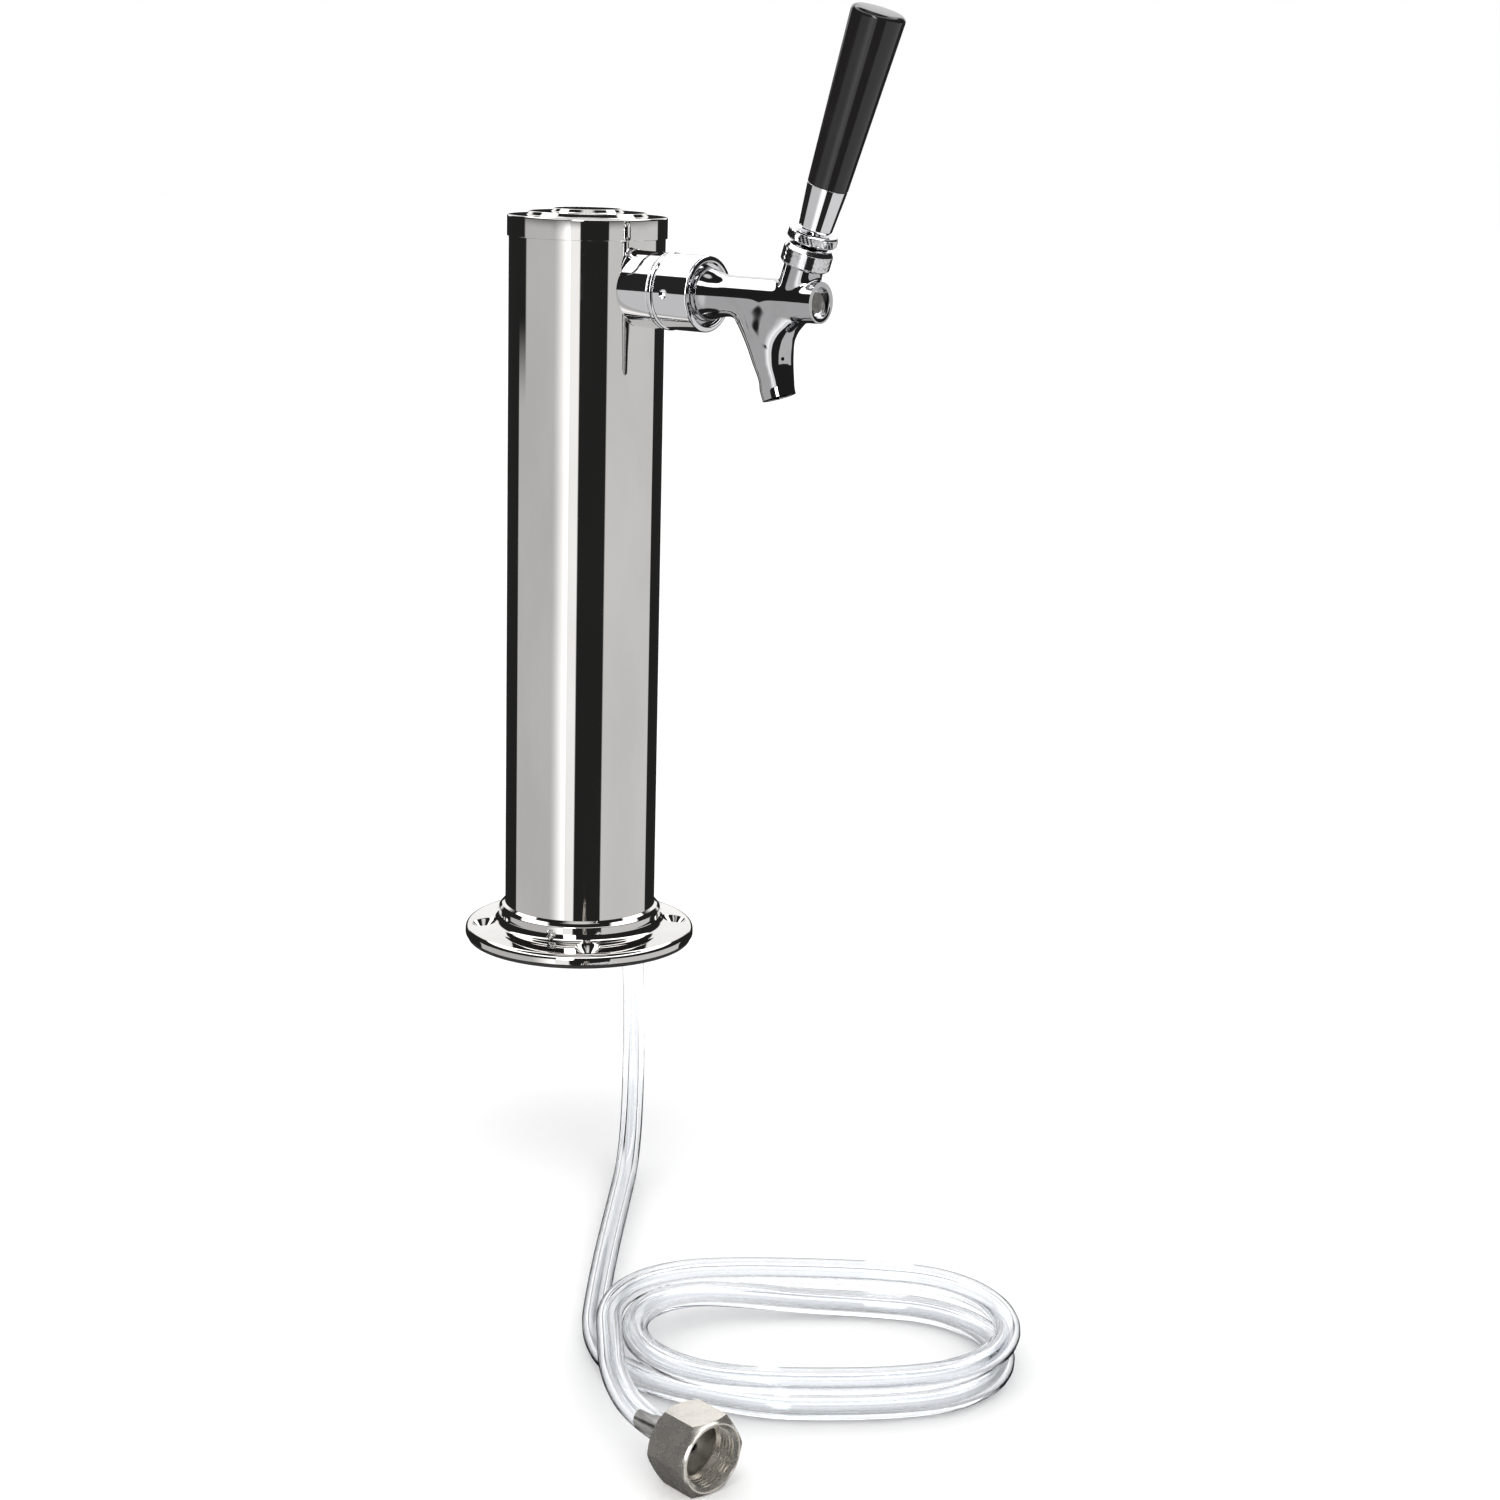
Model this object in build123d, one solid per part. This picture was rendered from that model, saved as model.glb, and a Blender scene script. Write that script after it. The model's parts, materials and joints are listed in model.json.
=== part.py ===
from build123d import *
from math import asin, atan2, cos, degrees, hypot, pi, radians, sin, tan
import os

# Single-faucet draft beer tower. Millimetres. +Z up, the origin is the centre of the
# underside of the base gasket, and the faucet points along -Y. "reach" is a distance
# from the column's axis along the faucet, so a point at a reach lies at y = -reach.

# Column, base and cap
COLUMN_R = 38.1
COLUMN_WALL = 1.2
COLUMN_BOTTOM = 3.2
COLUMN_TOP = 362.0
GASKET_T = 2.0
GASKET_R = 57.2
FLANGE_R = 58.3
FLANGE_RIM_TOP = 6.9
FLANGE_TOP_AT_COLLAR = 8.0
COLLAR_R = 41.2
COLLAR_TOP = 16.0
COLLAR_CHAMFER_TOP = 18.8
BASE_BORE_R = 34.0
BOLT_CIRCLE_R = 49.2
BOLT_HOLE_R = 3.0
GASKET_HOLE_R = 3.4
COUNTERSINK_R = 6.0
BOLT_COUNT = 4
SET_SCREW_ANGLES = (-160, -40, 80)
SET_SCREW_Z = 12.0
SET_SCREW_R = 2.5
SET_SCREW_END_R = 40.8
SOCKET_R = 1.25
SOCKET_DEPTH = 1.8
CAP_R = 39.0
CAP_SKIRT_BOTTOM = 354.0
CAP_RIM_TOP = 364.2
CAP_WALL = 0.6
CAP_STEPS = ((28.5, 1.8), (16.6, 3.4))
FOAM_R = 30.0
FOAM_BORE_R = 10.0
FOAM_SPAN = (130.0, 285.0)

# Shank and coupling, all round the axis at SHANK_Z
SHANK_Z = 331.0
SLEEVE_R = 18.2
SLEEVE_END = 51.5
SHANK_COLLAR_R = 18.5
SHANK_COLLAR_END = 54.6
SHANK_TUBE_R = 11.1
SHANK_HOLE_R = 11.6
SHANK_THREAD_R = 14.2
SHANK_FACE = 66.0
SHANK_BORE_R = 8.0
SHANK_BORE_START = 58.0
LINE_BORE_R = 2.4
ELBOW_BACK = -9.0
ELBOW_COLLAR_R = 5.3
ELBOW_COLLAR_DROP = 10.0
BARB_BOTTOM = 302.0
BARB_R = 3.1
BARB_ROOT_R = 2.6
BARB_BORE_R = 1.8
BARB_COUNT = 3
BARB_PITCH = 5.0
BARB_LENGTH = 3.0
BARB_TIP_GAP = 1.5
SADDLE_R = 16.5
SADDLE_SPAN = (29.0, 45.0)
LOCK_NUT_FLATS = 29.0
LOCK_NUT_SPAN = (22.3, 28.8)
CLAMP_SPAN = (308.0, 315.0)
CLAMP_T = 0.7
CLAMP_EAR = (2.6, 5.0, 6.0)
CLAMP_EAR_OUT = 1.4
COUPLING_R = 18.0
COUPLING_END = 75.4
COUPLING_LIP = 71.3
COUPLING_LIP_R = 12.65
COUPLING_RIM = (1.4, 2.0)
SPANNER_HOLE_FLOOR_R = 15.8
SPANNER_HOLE_R = 2.1
SPANNER_HOLE_REACH = 61.5
SPANNER_HOLE_ANGLES = (0, 120, 240)
COUPLING_WASHER_R = (13.8, 8.3)

# Faucet body
BODY_R = 9.4
REAR_FLANGE_R = 13.8
REAR_FLANGE_START = 67.6
REAR_FLANGE_END = 71.0
NECK_ROOT_R = 12.4
SEAT_START = 72.0
SEAT_END = 76.0
SEAT_HOLE_R = 4.4
CHAMBER_R = 6.5
CHAMBER_END = 127.0
BOSS_R = 9.3
BOSS_END = 139.3
BOSS_BORE_R = 7.0
GUIDE_SPAN = (130.2, 136.3)
SPOUT_TIP = (117.8, 285.9)
SPOUT_WAIST = (110.0, 307.0)
SPOUT_ROOT = (107.0, 325.0)
SPOUT_TIP_R = 7.9
SPOUT_WAIST_R = 9.0
SPOUT_ROOT_HALF = (17.0, 9.0)
SPOUT_BORE_R = 6.2
SPOUT_BORE_LENGTH = 18.0
VENT_R = 0.9
VENT_DROP = 2.5

# Lever: "height" is measured along the leaning lever axis from the shank's axis
LEVER_LEAN = 18.0
LEVER_FOOT_REACH = 124.6
PIVOT_HEIGHT = 18.0
LEVER_BALL_R = 6.6
LEVER_TIP_DROP = 18.95
LEVER_TIP_R = 2.4
LEVER_TAIL_R = 1.7
LEVER_STEM_R = 3.2
LEVER_THREAD_R = 4.65
LEVER_TOP = 53.0
NECK_R = 9.0
NECK_TOP = 22.0
NECK_BORE_R = 7.5
NECK_THROAT_R = 5.6
NECK_FLARE_R = 7.4
NECK_FLARE_SPAN = (4.5, 10.0)
NECK_BORE_BOTTOM = 11.0
SEAT_RING_TOP = 14.6
BUSHING_BOTTOM = 19.0
BUSHING_BORE_R = 5.4
BONNET_SPAN = (17.0, 27.1)
BONNET_R = 11.7
BONNET_MOUTH_R = 8.3
COLLAR_SPAN = (28.5, 33.7)
LEVER_COLLAR_R = 11.6
LEVER_COLLAR_CLEAR_R = 15.4
FERRULE_SPAN = (34.4, 55.3)
FERRULE_R = (7.95, 9.5)
GRIP_SPAN = (55.4, 136.8)
GRIP_R = (9.55, 12.75)
GRIP_ROUND = 2.2
SPIGOT_BOTTOM = 42.0
SPIGOT_R = 7.0
INSERT_R = 6.2
INSERT_TOP = 62.0
INSERT_CLOSED_END = 4.0
FIT = 0.05

# Valve shaft
SHAFT_HEAD_SPAN = (117.5, 138.0)
SHAFT_HEAD_R = 4.75
SHAFT_ROD_R = 2.9
SHAFT_END = 67.0
SLOT_LENGTH = 6.0
SLOT_TOP_LENGTH = 8.8
SLOT_WIDTH = 5.4
WASHER_R = 6.0
WASHER_T = 2.3
SHAFT_NUT_R = 4.6
SHAFT_NUT_START = 67.4
SLOT_FLARE_BOTTOM = 1.5
SLOT_FLARE_SHIFT = 0.4

# Beer line: a vinyl hose of 3/16 in bore and 7/16 in outside diameter
HOSE_R = 5.55
HOSE_START_Z = 321.0
FLOOR_Z = -105.0
LINE_ROUTE = [
    (0, 0, 321), (-1, 1, 240), (0, 0, 165), (4, -5, 100), (12, -16, 45), (16, -22, 2),
    (15, -25, -38), (-1, -38, -76), (-31, -60, -98), (-73, -88, -99.45), (-119, -119, -99.45),
    (-162, -149, -99.45), (-193, -172, -99.45), (-211, -197, -99.45), (-214, -223, -99.45),
]
TAIL_ROUTE = [
    (-171, -173, -84.5), (-195, -183, -84), (-218, -202, -85), (-239, -221, -87.5),
]
COIL_LOW_CENTRE = (-147.3, -259.3)
COIL_HIGH_CENTRE = (-140.4, -254.2)
COIL_LOW_HALF = (80.5, 50.0)
COIL_HIGH_HALF = (88.0, 49.5)
COIL_END_R = 48.0
COIL_AXIS = -50.0
COIL_HEIGHT = 25.0
COIL_TURNS_APART = 15.0

# Line nut and tailpiece: the nut's face looks along NUT_AZIMUTH
NUT_FACE = (-265.2, -293.0, -90.0)
NUT_AZIMUTH = -101.1
NUT_FLATS = 30.0
NUT_HEX_LENGTH = 21.0
NUT_LENGTH = 26.0
HOSE_LEAD_IN = 20.0
HOSE_GAP = 0.3
NUT_THREAD_R = 12.1
NUT_THREAD_DEPTH = 11.8
NUT_CHAMFER = 1.3
NUT_NECK_R = (7.6, 9.8)
TAILPIECE_FACE = -12.0
TAILPIECE_FACE_R = 11.7
TAILPIECE_FACE_T = 3.0
TAILPIECE_HUB_R = 5.0
TAILPIECE_BARB_LENGTH = 18.0


def disc(radius, bottom, top):
    """A round plate about the Z axis."""
    return Pos(0, 0, bottom) * Cylinder(
        radius, top - bottom, align=(Align.CENTER, Align.CENTER, Align.MIN)
    )


def ring(outer, inner, bottom, top):
    """A plain ring about the Z axis."""
    return disc(outer, bottom, top) - disc(inner, bottom - 1, top + 1)


def cone(low_r, high_r, bottom, top):
    """A tapered plug about the Z axis."""
    return Pos(0, 0, bottom) * Cone(
        low_r, high_r, top - bottom, align=(Align.CENTER, Align.CENTER, Align.MIN)
    )


def turned(points):
    """A solid of revolution about the Z axis from an outline of (radius, height)."""
    outline = Polyline([(r, 0, z) for r, z in points], close=True)
    return revolve(Face(outline), Axis.Z)


def along_reach(shape):
    """Turns a shape built along +Z so that +Z points along the faucet, at the shank's height."""
    return Pos(0, 0, SHANK_Z) * Rot(90, 0, 0) * shape


def along_lever(shape):
    """Turns a shape built along +Z onto the leaning lever axis."""
    return Pos(0, -LEVER_FOOT_REACH, SHANK_Z) * Rot(LEVER_LEAN, 0, 0) * shape


def along_nut(shape):
    """Turns a shape built along +Z so that z = 0 is the nut's face and +Z points out of it."""
    return Pos(*NUT_FACE) * Rot(0, 0, NUT_AZIMUTH) * Rot(0, 90, 0) * shape


def bolt_places():
    """The places of the bolt holes round the base, with a pair either side of the faucet."""
    return PolarLocations(BOLT_CIRCLE_R, BOLT_COUNT, start_angle=45)


# ---------------------------------------------------------------- tower


def column_tube():
    wall = ring(COLUMN_R, COLUMN_R - COLUMN_WALL, COLUMN_BOTTOM, COLUMN_TOP)
    return wall - along_reach(disc(SHANK_HOLE_R, 20, 60))


def base_flange():
    outline = [
        (BASE_BORE_R, GASKET_T),
        (FLANGE_R - 0.8, GASKET_T),
        (FLANGE_R, GASKET_T + 0.8),
        (FLANGE_R, FLANGE_RIM_TOP - 2.0),
        (FLANGE_R - 1.8, FLANGE_RIM_TOP),
        (COLLAR_R + 4.5, FLANGE_TOP_AT_COLLAR),
        (COLLAR_R + 1.2, FLANGE_TOP_AT_COLLAR + 1.2),
        (COLLAR_R, FLANGE_TOP_AT_COLLAR + 4.0),
        (COLLAR_R, COLLAR_TOP),
        (COLUMN_R + 0.6, COLLAR_CHAMFER_TOP),
        (COLUMN_R + FIT, COLLAR_CHAMFER_TOP),
        (COLUMN_R + FIT, COLUMN_BOTTOM),
        (BASE_BORE_R, COLUMN_BOTTOM),
    ]
    body = turned(outline)
    hole = disc(BOLT_HOLE_R, 0, 20)
    sink = cone(BOLT_HOLE_R, COUNTERSINK_R + 1.5, FLANGE_RIM_TOP - 2.6, FLANGE_RIM_TOP + 1.9)
    for place in bolt_places():
        body -= place * hole
        body -= place * sink
    for angle in SET_SCREW_ANGLES:
        body -= Rot(0, 0, angle) * Pos(0, 0, SET_SCREW_Z) * Rot(0, 90, 0) * disc(SET_SCREW_R, 30, 45)
    return body


def base_gasket():
    body = ring(GASKET_R, BASE_BORE_R, 0, GASKET_T)
    for place in bolt_places():
        body -= place * disc(GASKET_HOLE_R, -1, GASKET_T + 1)
    return body


def set_screw():
    length = SET_SCREW_END_R - COLUMN_R - FIT
    screw = disc(SET_SCREW_R - FIT, 0, length)
    socket = extrude(RegularPolygon(SOCKET_R, 6), amount=SOCKET_DEPTH + 1)
    return screw - Pos(0, 0, length - SOCKET_DEPTH) * socket


def collar_set_screws():
    screws = []
    for angle in SET_SCREW_ANGLES:
        place = Rot(0, 0, angle) * Pos(COLUMN_R + FIT, 0, SET_SCREW_Z) * Rot(0, 90, 0)
        screws.append(place * set_screw())
    return Compound(screws)


def top_cap():
    (outer_step_r, outer_step), (inner_step_r, inner_step) = CAP_STEPS
    inner_r = CAP_R - CAP_WALL
    outline = [
        (inner_r, CAP_SKIRT_BOTTOM),
        (CAP_R, CAP_SKIRT_BOTTOM),
        (CAP_R, CAP_RIM_TOP - 1.0),
        (CAP_R - 1.0, CAP_RIM_TOP),
        (outer_step_r + 0.8, CAP_RIM_TOP),
        (outer_step_r, CAP_RIM_TOP + outer_step),
        (inner_step_r + 0.8, CAP_RIM_TOP + outer_step),
        (inner_step_r, CAP_RIM_TOP + inner_step),
        (0, CAP_RIM_TOP + inner_step),
        (0, CAP_RIM_TOP - 1.2),
        (inner_r, CAP_RIM_TOP - 1.2),
    ]
    return turned(outline)


def insulation_sleeve():
    return ring(FOAM_R, FOAM_BORE_R, *FOAM_SPAN)


# ---------------------------------------------------------------- shank


def shank_sleeve():
    """The round sleeve whose back is cut to sit on the column."""
    body = ring(SLEEVE_R, SHANK_TUBE_R + FIT, 20, SLEEVE_END)
    return along_reach(body) - disc(COLUMN_R + FIT, 250, 400)


def barbed_tube(bottom, top):
    """A solid tube blank about the Z axis with hose barbs at its lower end."""
    body = disc(BARB_ROOT_R, bottom, top)
    for step in range(BARB_COUNT):
        low = bottom + BARB_TIP_GAP + step * BARB_PITCH
        body += cone(BARB_ROOT_R, BARB_R, low, low + BARB_LENGTH)
    return body


def shank():
    """The shank: collar and threaded nose in front, an elbow and barb inside the column."""
    body = disc(SHANK_TUBE_R, ELBOW_BACK, SLEEVE_END)
    body += disc(SHANK_COLLAR_R, SLEEVE_END, SHANK_COLLAR_END)
    body += disc(SHANK_THREAD_R, SHANK_COLLAR_END, SHANK_FACE)
    body -= disc(SHANK_BORE_R, SHANK_BORE_START, SHANK_FACE + 1)
    body -= disc(LINE_BORE_R, 0, SHANK_FACE)
    elbow = along_reach(body) + disc(ELBOW_COLLAR_R, SHANK_Z - ELBOW_COLLAR_DROP, SHANK_Z)
    elbow += barbed_tube(BARB_BOTTOM, SHANK_Z)
    return elbow - disc(BARB_BORE_R, BARB_BOTTOM - 1, SHANK_Z)


def inner_saddle():
    body = along_reach(ring(SADDLE_R, SHANK_TUBE_R + FIT, *SADDLE_SPAN))
    return body & disc(COLUMN_R - COLUMN_WALL - FIT, 300, 360)


def shank_lock_nut():
    back, front = LOCK_NUT_SPAN
    hexagon = extrude(RegularPolygon(LOCK_NUT_FLATS / 2, 6, major_radius=False), amount=front - back)
    return along_reach(Pos(0, 0, back) * hexagon - disc(SHANK_TUBE_R + FIT, back - 1, front + 1))


def hose_clamp():
    bottom, top = CLAMP_SPAN
    band = ring(HOSE_R + CLAMP_T, HOSE_R, bottom, top)
    ear = Pos(HOSE_R + CLAMP_EAR_OUT, 0, (bottom + top) / 2) * Box(*CLAMP_EAR)
    return band + (ear - disc(HOSE_R + CLAMP_T / 2, bottom, top))


def coupling_nut():
    body = ring(COUPLING_R, SHANK_THREAD_R + FIT, SHANK_COLLAR_END + FIT, COUPLING_END)
    rim_width, rim_length = COUPLING_RIM
    rim_start = COUPLING_END - rim_length
    rim = disc(COUPLING_R + 1, rim_start, COUPLING_END) - cone(
        COUPLING_R, COUPLING_R - rim_width, rim_start, COUPLING_END
    )
    lip = ring(SHANK_THREAD_R + 1, COUPLING_LIP_R, COUPLING_LIP, COUPLING_END)
    body = body - rim + lip
    for angle in SPANNER_HOLE_ANGLES:
        place = Rot(0, 0, angle) * Pos(0, 0, SPANNER_HOLE_REACH) * Rot(0, -90, 0)
        body -= place * disc(SPANNER_HOLE_R, SPANNER_HOLE_FLOOR_R, COUPLING_R + 1)
    return along_reach(body)


def coupling_washer():
    return along_reach(ring(*COUPLING_WASHER_R, SHANK_FACE, REAR_FLANGE_START))


# ---------------------------------------------------------------- faucet


def spout_lean():
    """The spout's lean forward below its waist, in degrees."""
    run = SPOUT_TIP[0] - SPOUT_WAIST[0]
    drop = SPOUT_WAIST[1] - SPOUT_TIP[1]
    return degrees(atan2(run, drop))


def along_spout(shape):
    """Turns a shape built along +Z so that z = 0 is the spout's mouth and +Z runs up it."""
    return Pos(0, -SPOUT_TIP[0], SPOUT_TIP[1]) * Rot(-spout_lean(), 0, 0) * shape


def spout_blank():
    """The leaning lower spout, and the web that widens from its waist to the body."""
    run = SPOUT_TIP[0] - SPOUT_WAIST[0]
    length = hypot(run, SPOUT_WAIST[1] - SPOUT_TIP[1])
    lower = along_spout(cone(SPOUT_TIP_R, SPOUT_WAIST_R, 0, length))
    knee = Pos(0, -SPOUT_WAIST[0], SPOUT_WAIST[1]) * Sphere(SPOUT_WAIST_R)
    root_half, root_width = SPOUT_ROOT_HALF
    root = Pos(0, -SPOUT_ROOT[0], SPOUT_ROOT[1]) * Ellipse(root_width, root_half)
    waist = Pos(0, -SPOUT_WAIST[0], SPOUT_WAIST[1]) * Ellipse(SPOUT_WAIST_R - 0.1, SPOUT_WAIST_R + 0.3)
    return lower + knee + loft([waist, root])


def spout_bore():
    """The straight bore up the spout and the passage from it into the chamber."""
    straight = along_spout(disc(SPOUT_BORE_R, -5, SPOUT_BORE_LENGTH))
    lean = radians(spout_lean())
    back = SPOUT_BORE_LENGTH - 2
    reach = SPOUT_TIP[0] - back * sin(lean)
    height = SPOUT_TIP[1] + back * cos(lean)
    return straight + Pos(0, -reach, height) * disc(SPOUT_BORE_R - 0.8, 0, SHANK_Z - height)


def faucet_body():
    outline = [
        (0, REAR_FLANGE_START),
        (REAR_FLANGE_R, REAR_FLANGE_START),
        (REAR_FLANGE_R, REAR_FLANGE_END),
        (NECK_ROOT_R, REAR_FLANGE_END),
        (NECK_ROOT_R, COUPLING_END + 1.5),
        (BODY_R + 1.0, 82.0),
        (BODY_R, 86.5),
        (BODY_R, BOSS_END - 9),
        (BOSS_R, BOSS_END - 8),
        (BOSS_R, BOSS_END - 0.7),
        (BOSS_R - 0.7, BOSS_END),
        (0, BOSS_END),
    ]
    body = along_reach(turned(outline))
    body += along_lever(disc(NECK_R, 0, NECK_TOP))
    body += spout_blank()
    body -= along_reach(disc(SHANK_BORE_R, REAR_FLANGE_START - 1, SEAT_START))
    body -= along_reach(disc(SEAT_HOLE_R, SEAT_START - 1, SEAT_END + 1))
    body -= along_reach(disc(CHAMBER_R, SEAT_END, CHAMBER_END))
    body -= along_reach(disc(BOSS_BORE_R, CHAMBER_END - 0.5, BOSS_END + 1))
    body -= along_lever(disc(NECK_THROAT_R, 0, NECK_TOP + 1))
    body -= along_lever(cone(NECK_FLARE_R, NECK_THROAT_R, *NECK_FLARE_SPAN))
    body -= along_lever(disc(NECK_BORE_R, NECK_BORE_BOTTOM, NECK_TOP + 1))
    body -= spout_bore()
    vent = Pos(0, -SPOUT_WAIST[0], SPOUT_WAIST[1] - VENT_DROP) * Rot(90, 0, 0)
    return body - vent * disc(VENT_R, 0, 2 * SPOUT_WAIST_R)


def shaft_guide():
    return along_reach(ring(BOSS_BORE_R - FIT, SHAFT_HEAD_R + FIT, *GUIDE_SPAN))


def slot_reach():
    """The reach of the lever's tip at rest, which is the middle of the shaft's slot."""
    lean = radians(LEVER_LEAN)
    return LEVER_FOOT_REACH + (PIVOT_HEIGHT - LEVER_TIP_DROP) * sin(lean)


def faucet_shaft():
    body = disc(SHAFT_ROD_R, SHAFT_END, SHAFT_HEAD_SPAN[0])
    body += disc(SHAFT_HEAD_R, *SHAFT_HEAD_SPAN)
    body = along_reach(body)
    slot = Pos(0, -slot_reach(), SHANK_Z) * Box(SLOT_WIDTH, SLOT_LENGTH, 30)
    flare_z = SHANK_Z + SLOT_FLARE_BOTTOM + 10
    flare = Pos(0, -slot_reach() - SLOT_FLARE_SHIFT, flare_z) * Box(SLOT_WIDTH, SLOT_TOP_LENGTH, 20)
    return body - slot - flare


def seat_washer():
    end = SEAT_START - FIT
    return along_reach(ring(WASHER_R, SHAFT_ROD_R + FIT, end - WASHER_T, end))


def shaft_nut():
    back = SHAFT_NUT_START
    front = SEAT_START - FIT - WASHER_T
    hexagon = extrude(RegularPolygon(SHAFT_NUT_R, 6), amount=front - back)
    return along_reach(Pos(0, 0, back) * hexagon - disc(SHAFT_ROD_R + FIT, back - 1, front + 1))


# ---------------------------------------------------------------- lever and handle


def pivot_ball(radius):
    return Pos(0, 0, PIVOT_HEIGHT) * Sphere(radius)


def ball_lever():
    tip = PIVOT_HEIGHT - LEVER_TIP_DROP
    body = pivot_ball(LEVER_BALL_R)
    body += disc(LEVER_TAIL_R, tip, PIVOT_HEIGHT)
    body += Pos(0, 0, tip) * Sphere(LEVER_TIP_R)
    body += disc(LEVER_STEM_R, PIVOT_HEIGHT, COLLAR_SPAN[1] + 0.7)
    body += disc(LEVER_THREAD_R, COLLAR_SPAN[1] + 0.7, LEVER_TOP)
    return along_lever(body)


def lever_seat():
    body = ring(NECK_BORE_R - FIT, NECK_THROAT_R, NECK_BORE_BOTTOM, SEAT_RING_TOP)
    return along_lever(body - pivot_ball(LEVER_BALL_R + FIT))


def lever_bushing():
    body = ring(NECK_BORE_R - FIT, BUSHING_BORE_R, BUSHING_BOTTOM, NECK_TOP)
    return along_lever(body - pivot_ball(LEVER_BALL_R + FIT))


def bonnet():
    bottom, top = BONNET_SPAN
    outline = [
        (NECK_R + FIT, bottom),
        (BONNET_R - 1.0, bottom),
        (BONNET_R, bottom + 1.0),
        (BONNET_R, top - 0.9),
        (BONNET_R - 0.9, top),
        (BONNET_MOUTH_R, top),
        (BONNET_MOUTH_R, NECK_TOP + FIT),
        (NECK_R + FIT, NECK_TOP + FIT),
    ]
    return along_lever(turned(outline))


def lever_collar():
    body = ring(LEVER_COLLAR_R, LEVER_STEM_R + FIT, *COLLAR_SPAN)
    return along_lever(body - pivot_ball(LEVER_COLLAR_CLEAR_R))


def handle_ferrule():
    low, high = FERRULE_SPAN
    body = disc(FERRULE_R[0] - 0.8, low, low + 1.6)
    body += cone(FERRULE_R[0], FERRULE_R[1], low + 1.6, high)
    body -= disc(LEVER_THREAD_R + FIT, low - 1, high + 1)
    return along_lever(body - disc(SPIGOT_R + FIT, SPIGOT_BOTTOM, high + 1))


def handle_grip():
    low, high = GRIP_SPAN
    body = cone(GRIP_R[0], GRIP_R[1], low, high)
    body = fillet(body.edges().sort_by(Axis.Z)[-1], GRIP_ROUND)
    body += disc(SPIGOT_R, SPIGOT_BOTTOM, low + 1)
    body -= disc(INSERT_R + FIT, SPIGOT_BOTTOM - 1, INSERT_TOP)
    return along_lever(body)


def handle_insert():
    cup_top = INSERT_TOP - INSERT_CLOSED_END
    body = ring(INSERT_R, LEVER_THREAD_R + FIT, SPIGOT_BOTTOM, cup_top)
    return along_lever(body + disc(INSERT_R, cup_top, INSERT_TOP - FIT))


# ---------------------------------------------------------------- beer line


def corner_radii(points):
    """The largest arc for each corner of a route that its two runs leave room for."""
    radii = []
    for before, corner, after in zip(points, points[1:], points[2:]):
        into = Vector(*corner) - Vector(*before)
        out = Vector(*after) - Vector(*corner)
        turn = radians(into.get_angle(out))
        radii.append(0.45 * min(into.length, out.length) / tan(turn / 2))
    return radii


def hose_tube(name, points):
    """A hose along straight runs that are joined by arcs tangent to both."""
    radii = corner_radii(points)
    path = FilletPolyline(points, radius=radii)
    start = Plane(origin=path @ 0, z_dir=path % 0)
    tube = sweep(start * Circle(HOSE_R), path=path)
    expected = pi * HOSE_R * HOSE_R * path.length
    print(name, "radii", [round(r) for r in radii], "length", round(path.length, 1))
    print(name, "volume over section times length", round(tube.volume / expected, 4))
    return tube


def coil_point(turns, half, end_r):
    """A point on a four-arc oval, by turns from the middle of its near side."""
    long_half, short_half = half
    flat = long_half - end_r
    side_r = (flat * flat + short_half * short_half - end_r * end_r) / (2 * (short_half - end_r))
    side_angle = asin(flat / (side_r - end_r))
    side = 2 * side_angle * side_r
    end = (pi - 2 * side_angle) * end_r
    halves, rest = divmod(2 * turns * (side + end) + side / 2, side + end)
    if rest < side:
        angle = rest / side_r - side_angle
        x, y = side_r * sin(angle), side_r - short_half - side_r * cos(angle)
    else:
        angle = side_angle + (rest - side) / end_r
        x, y = flat + end_r * sin(angle), -end_r * cos(angle)
    sign = -1 if int(halves) % 2 else 1
    return sign * x, sign * y


def coil_entry(turns, half, centre, height):
    """A point of the coil in the part's frame."""
    x, y = coil_point(turns, half, COIL_END_R)
    turned_point = Vector(x, y, height).rotate(Axis.Z, COIL_AXIS)
    return (turned_point.X + centre[0], turned_point.Y + centre[1], height)


def beer_line():
    start = coil_entry(-1 / 16, COIL_LOW_HALF, COIL_LOW_CENTRE, FLOOR_Z + HOSE_R)
    return hose_tube("beer_line", LINE_ROUTE + [start])


def behind_nut_face(distance):
    """A point on the nut's axis, this far behind its face."""
    azimuth = radians(NUT_AZIMUTH)
    x, y, z = NUT_FACE
    return (x - distance * cos(azimuth), y - distance * sin(azimuth), z)


def beer_line_tail():
    lead_in = behind_nut_face(NUT_LENGTH + HOSE_LEAD_IN)
    return hose_tube("beer_line_tail", TAIL_ROUTE + [lead_in, behind_nut_face(NUT_LENGTH + HOSE_GAP)])


def beer_line_coil():
    """The space that the two wound turns of the hose fill."""
    grown = [2 * (size + HOSE_R) for size in COIL_HIGH_HALF]
    inner = [2 * (size - HOSE_R) for size in COIL_LOW_HALF]
    high = Pos(*COIL_HIGH_CENTRE) * Rot(0, 0, COIL_AXIS)
    low = Pos(*COIL_LOW_CENTRE) * Rot(0, 0, COIL_AXIS)
    within = [size - 4 * HOSE_R for size in grown]
    sketch = high * SlotOverall(*grown) + low * SlotOverall(grown[0] - COIL_TURNS_APART, grown[1])
    sketch -= low * SlotOverall(*inner) & high * SlotOverall(*within)
    return Pos(0, 0, FLOOR_Z) * extrude(sketch, amount=COIL_HEIGHT)


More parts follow.
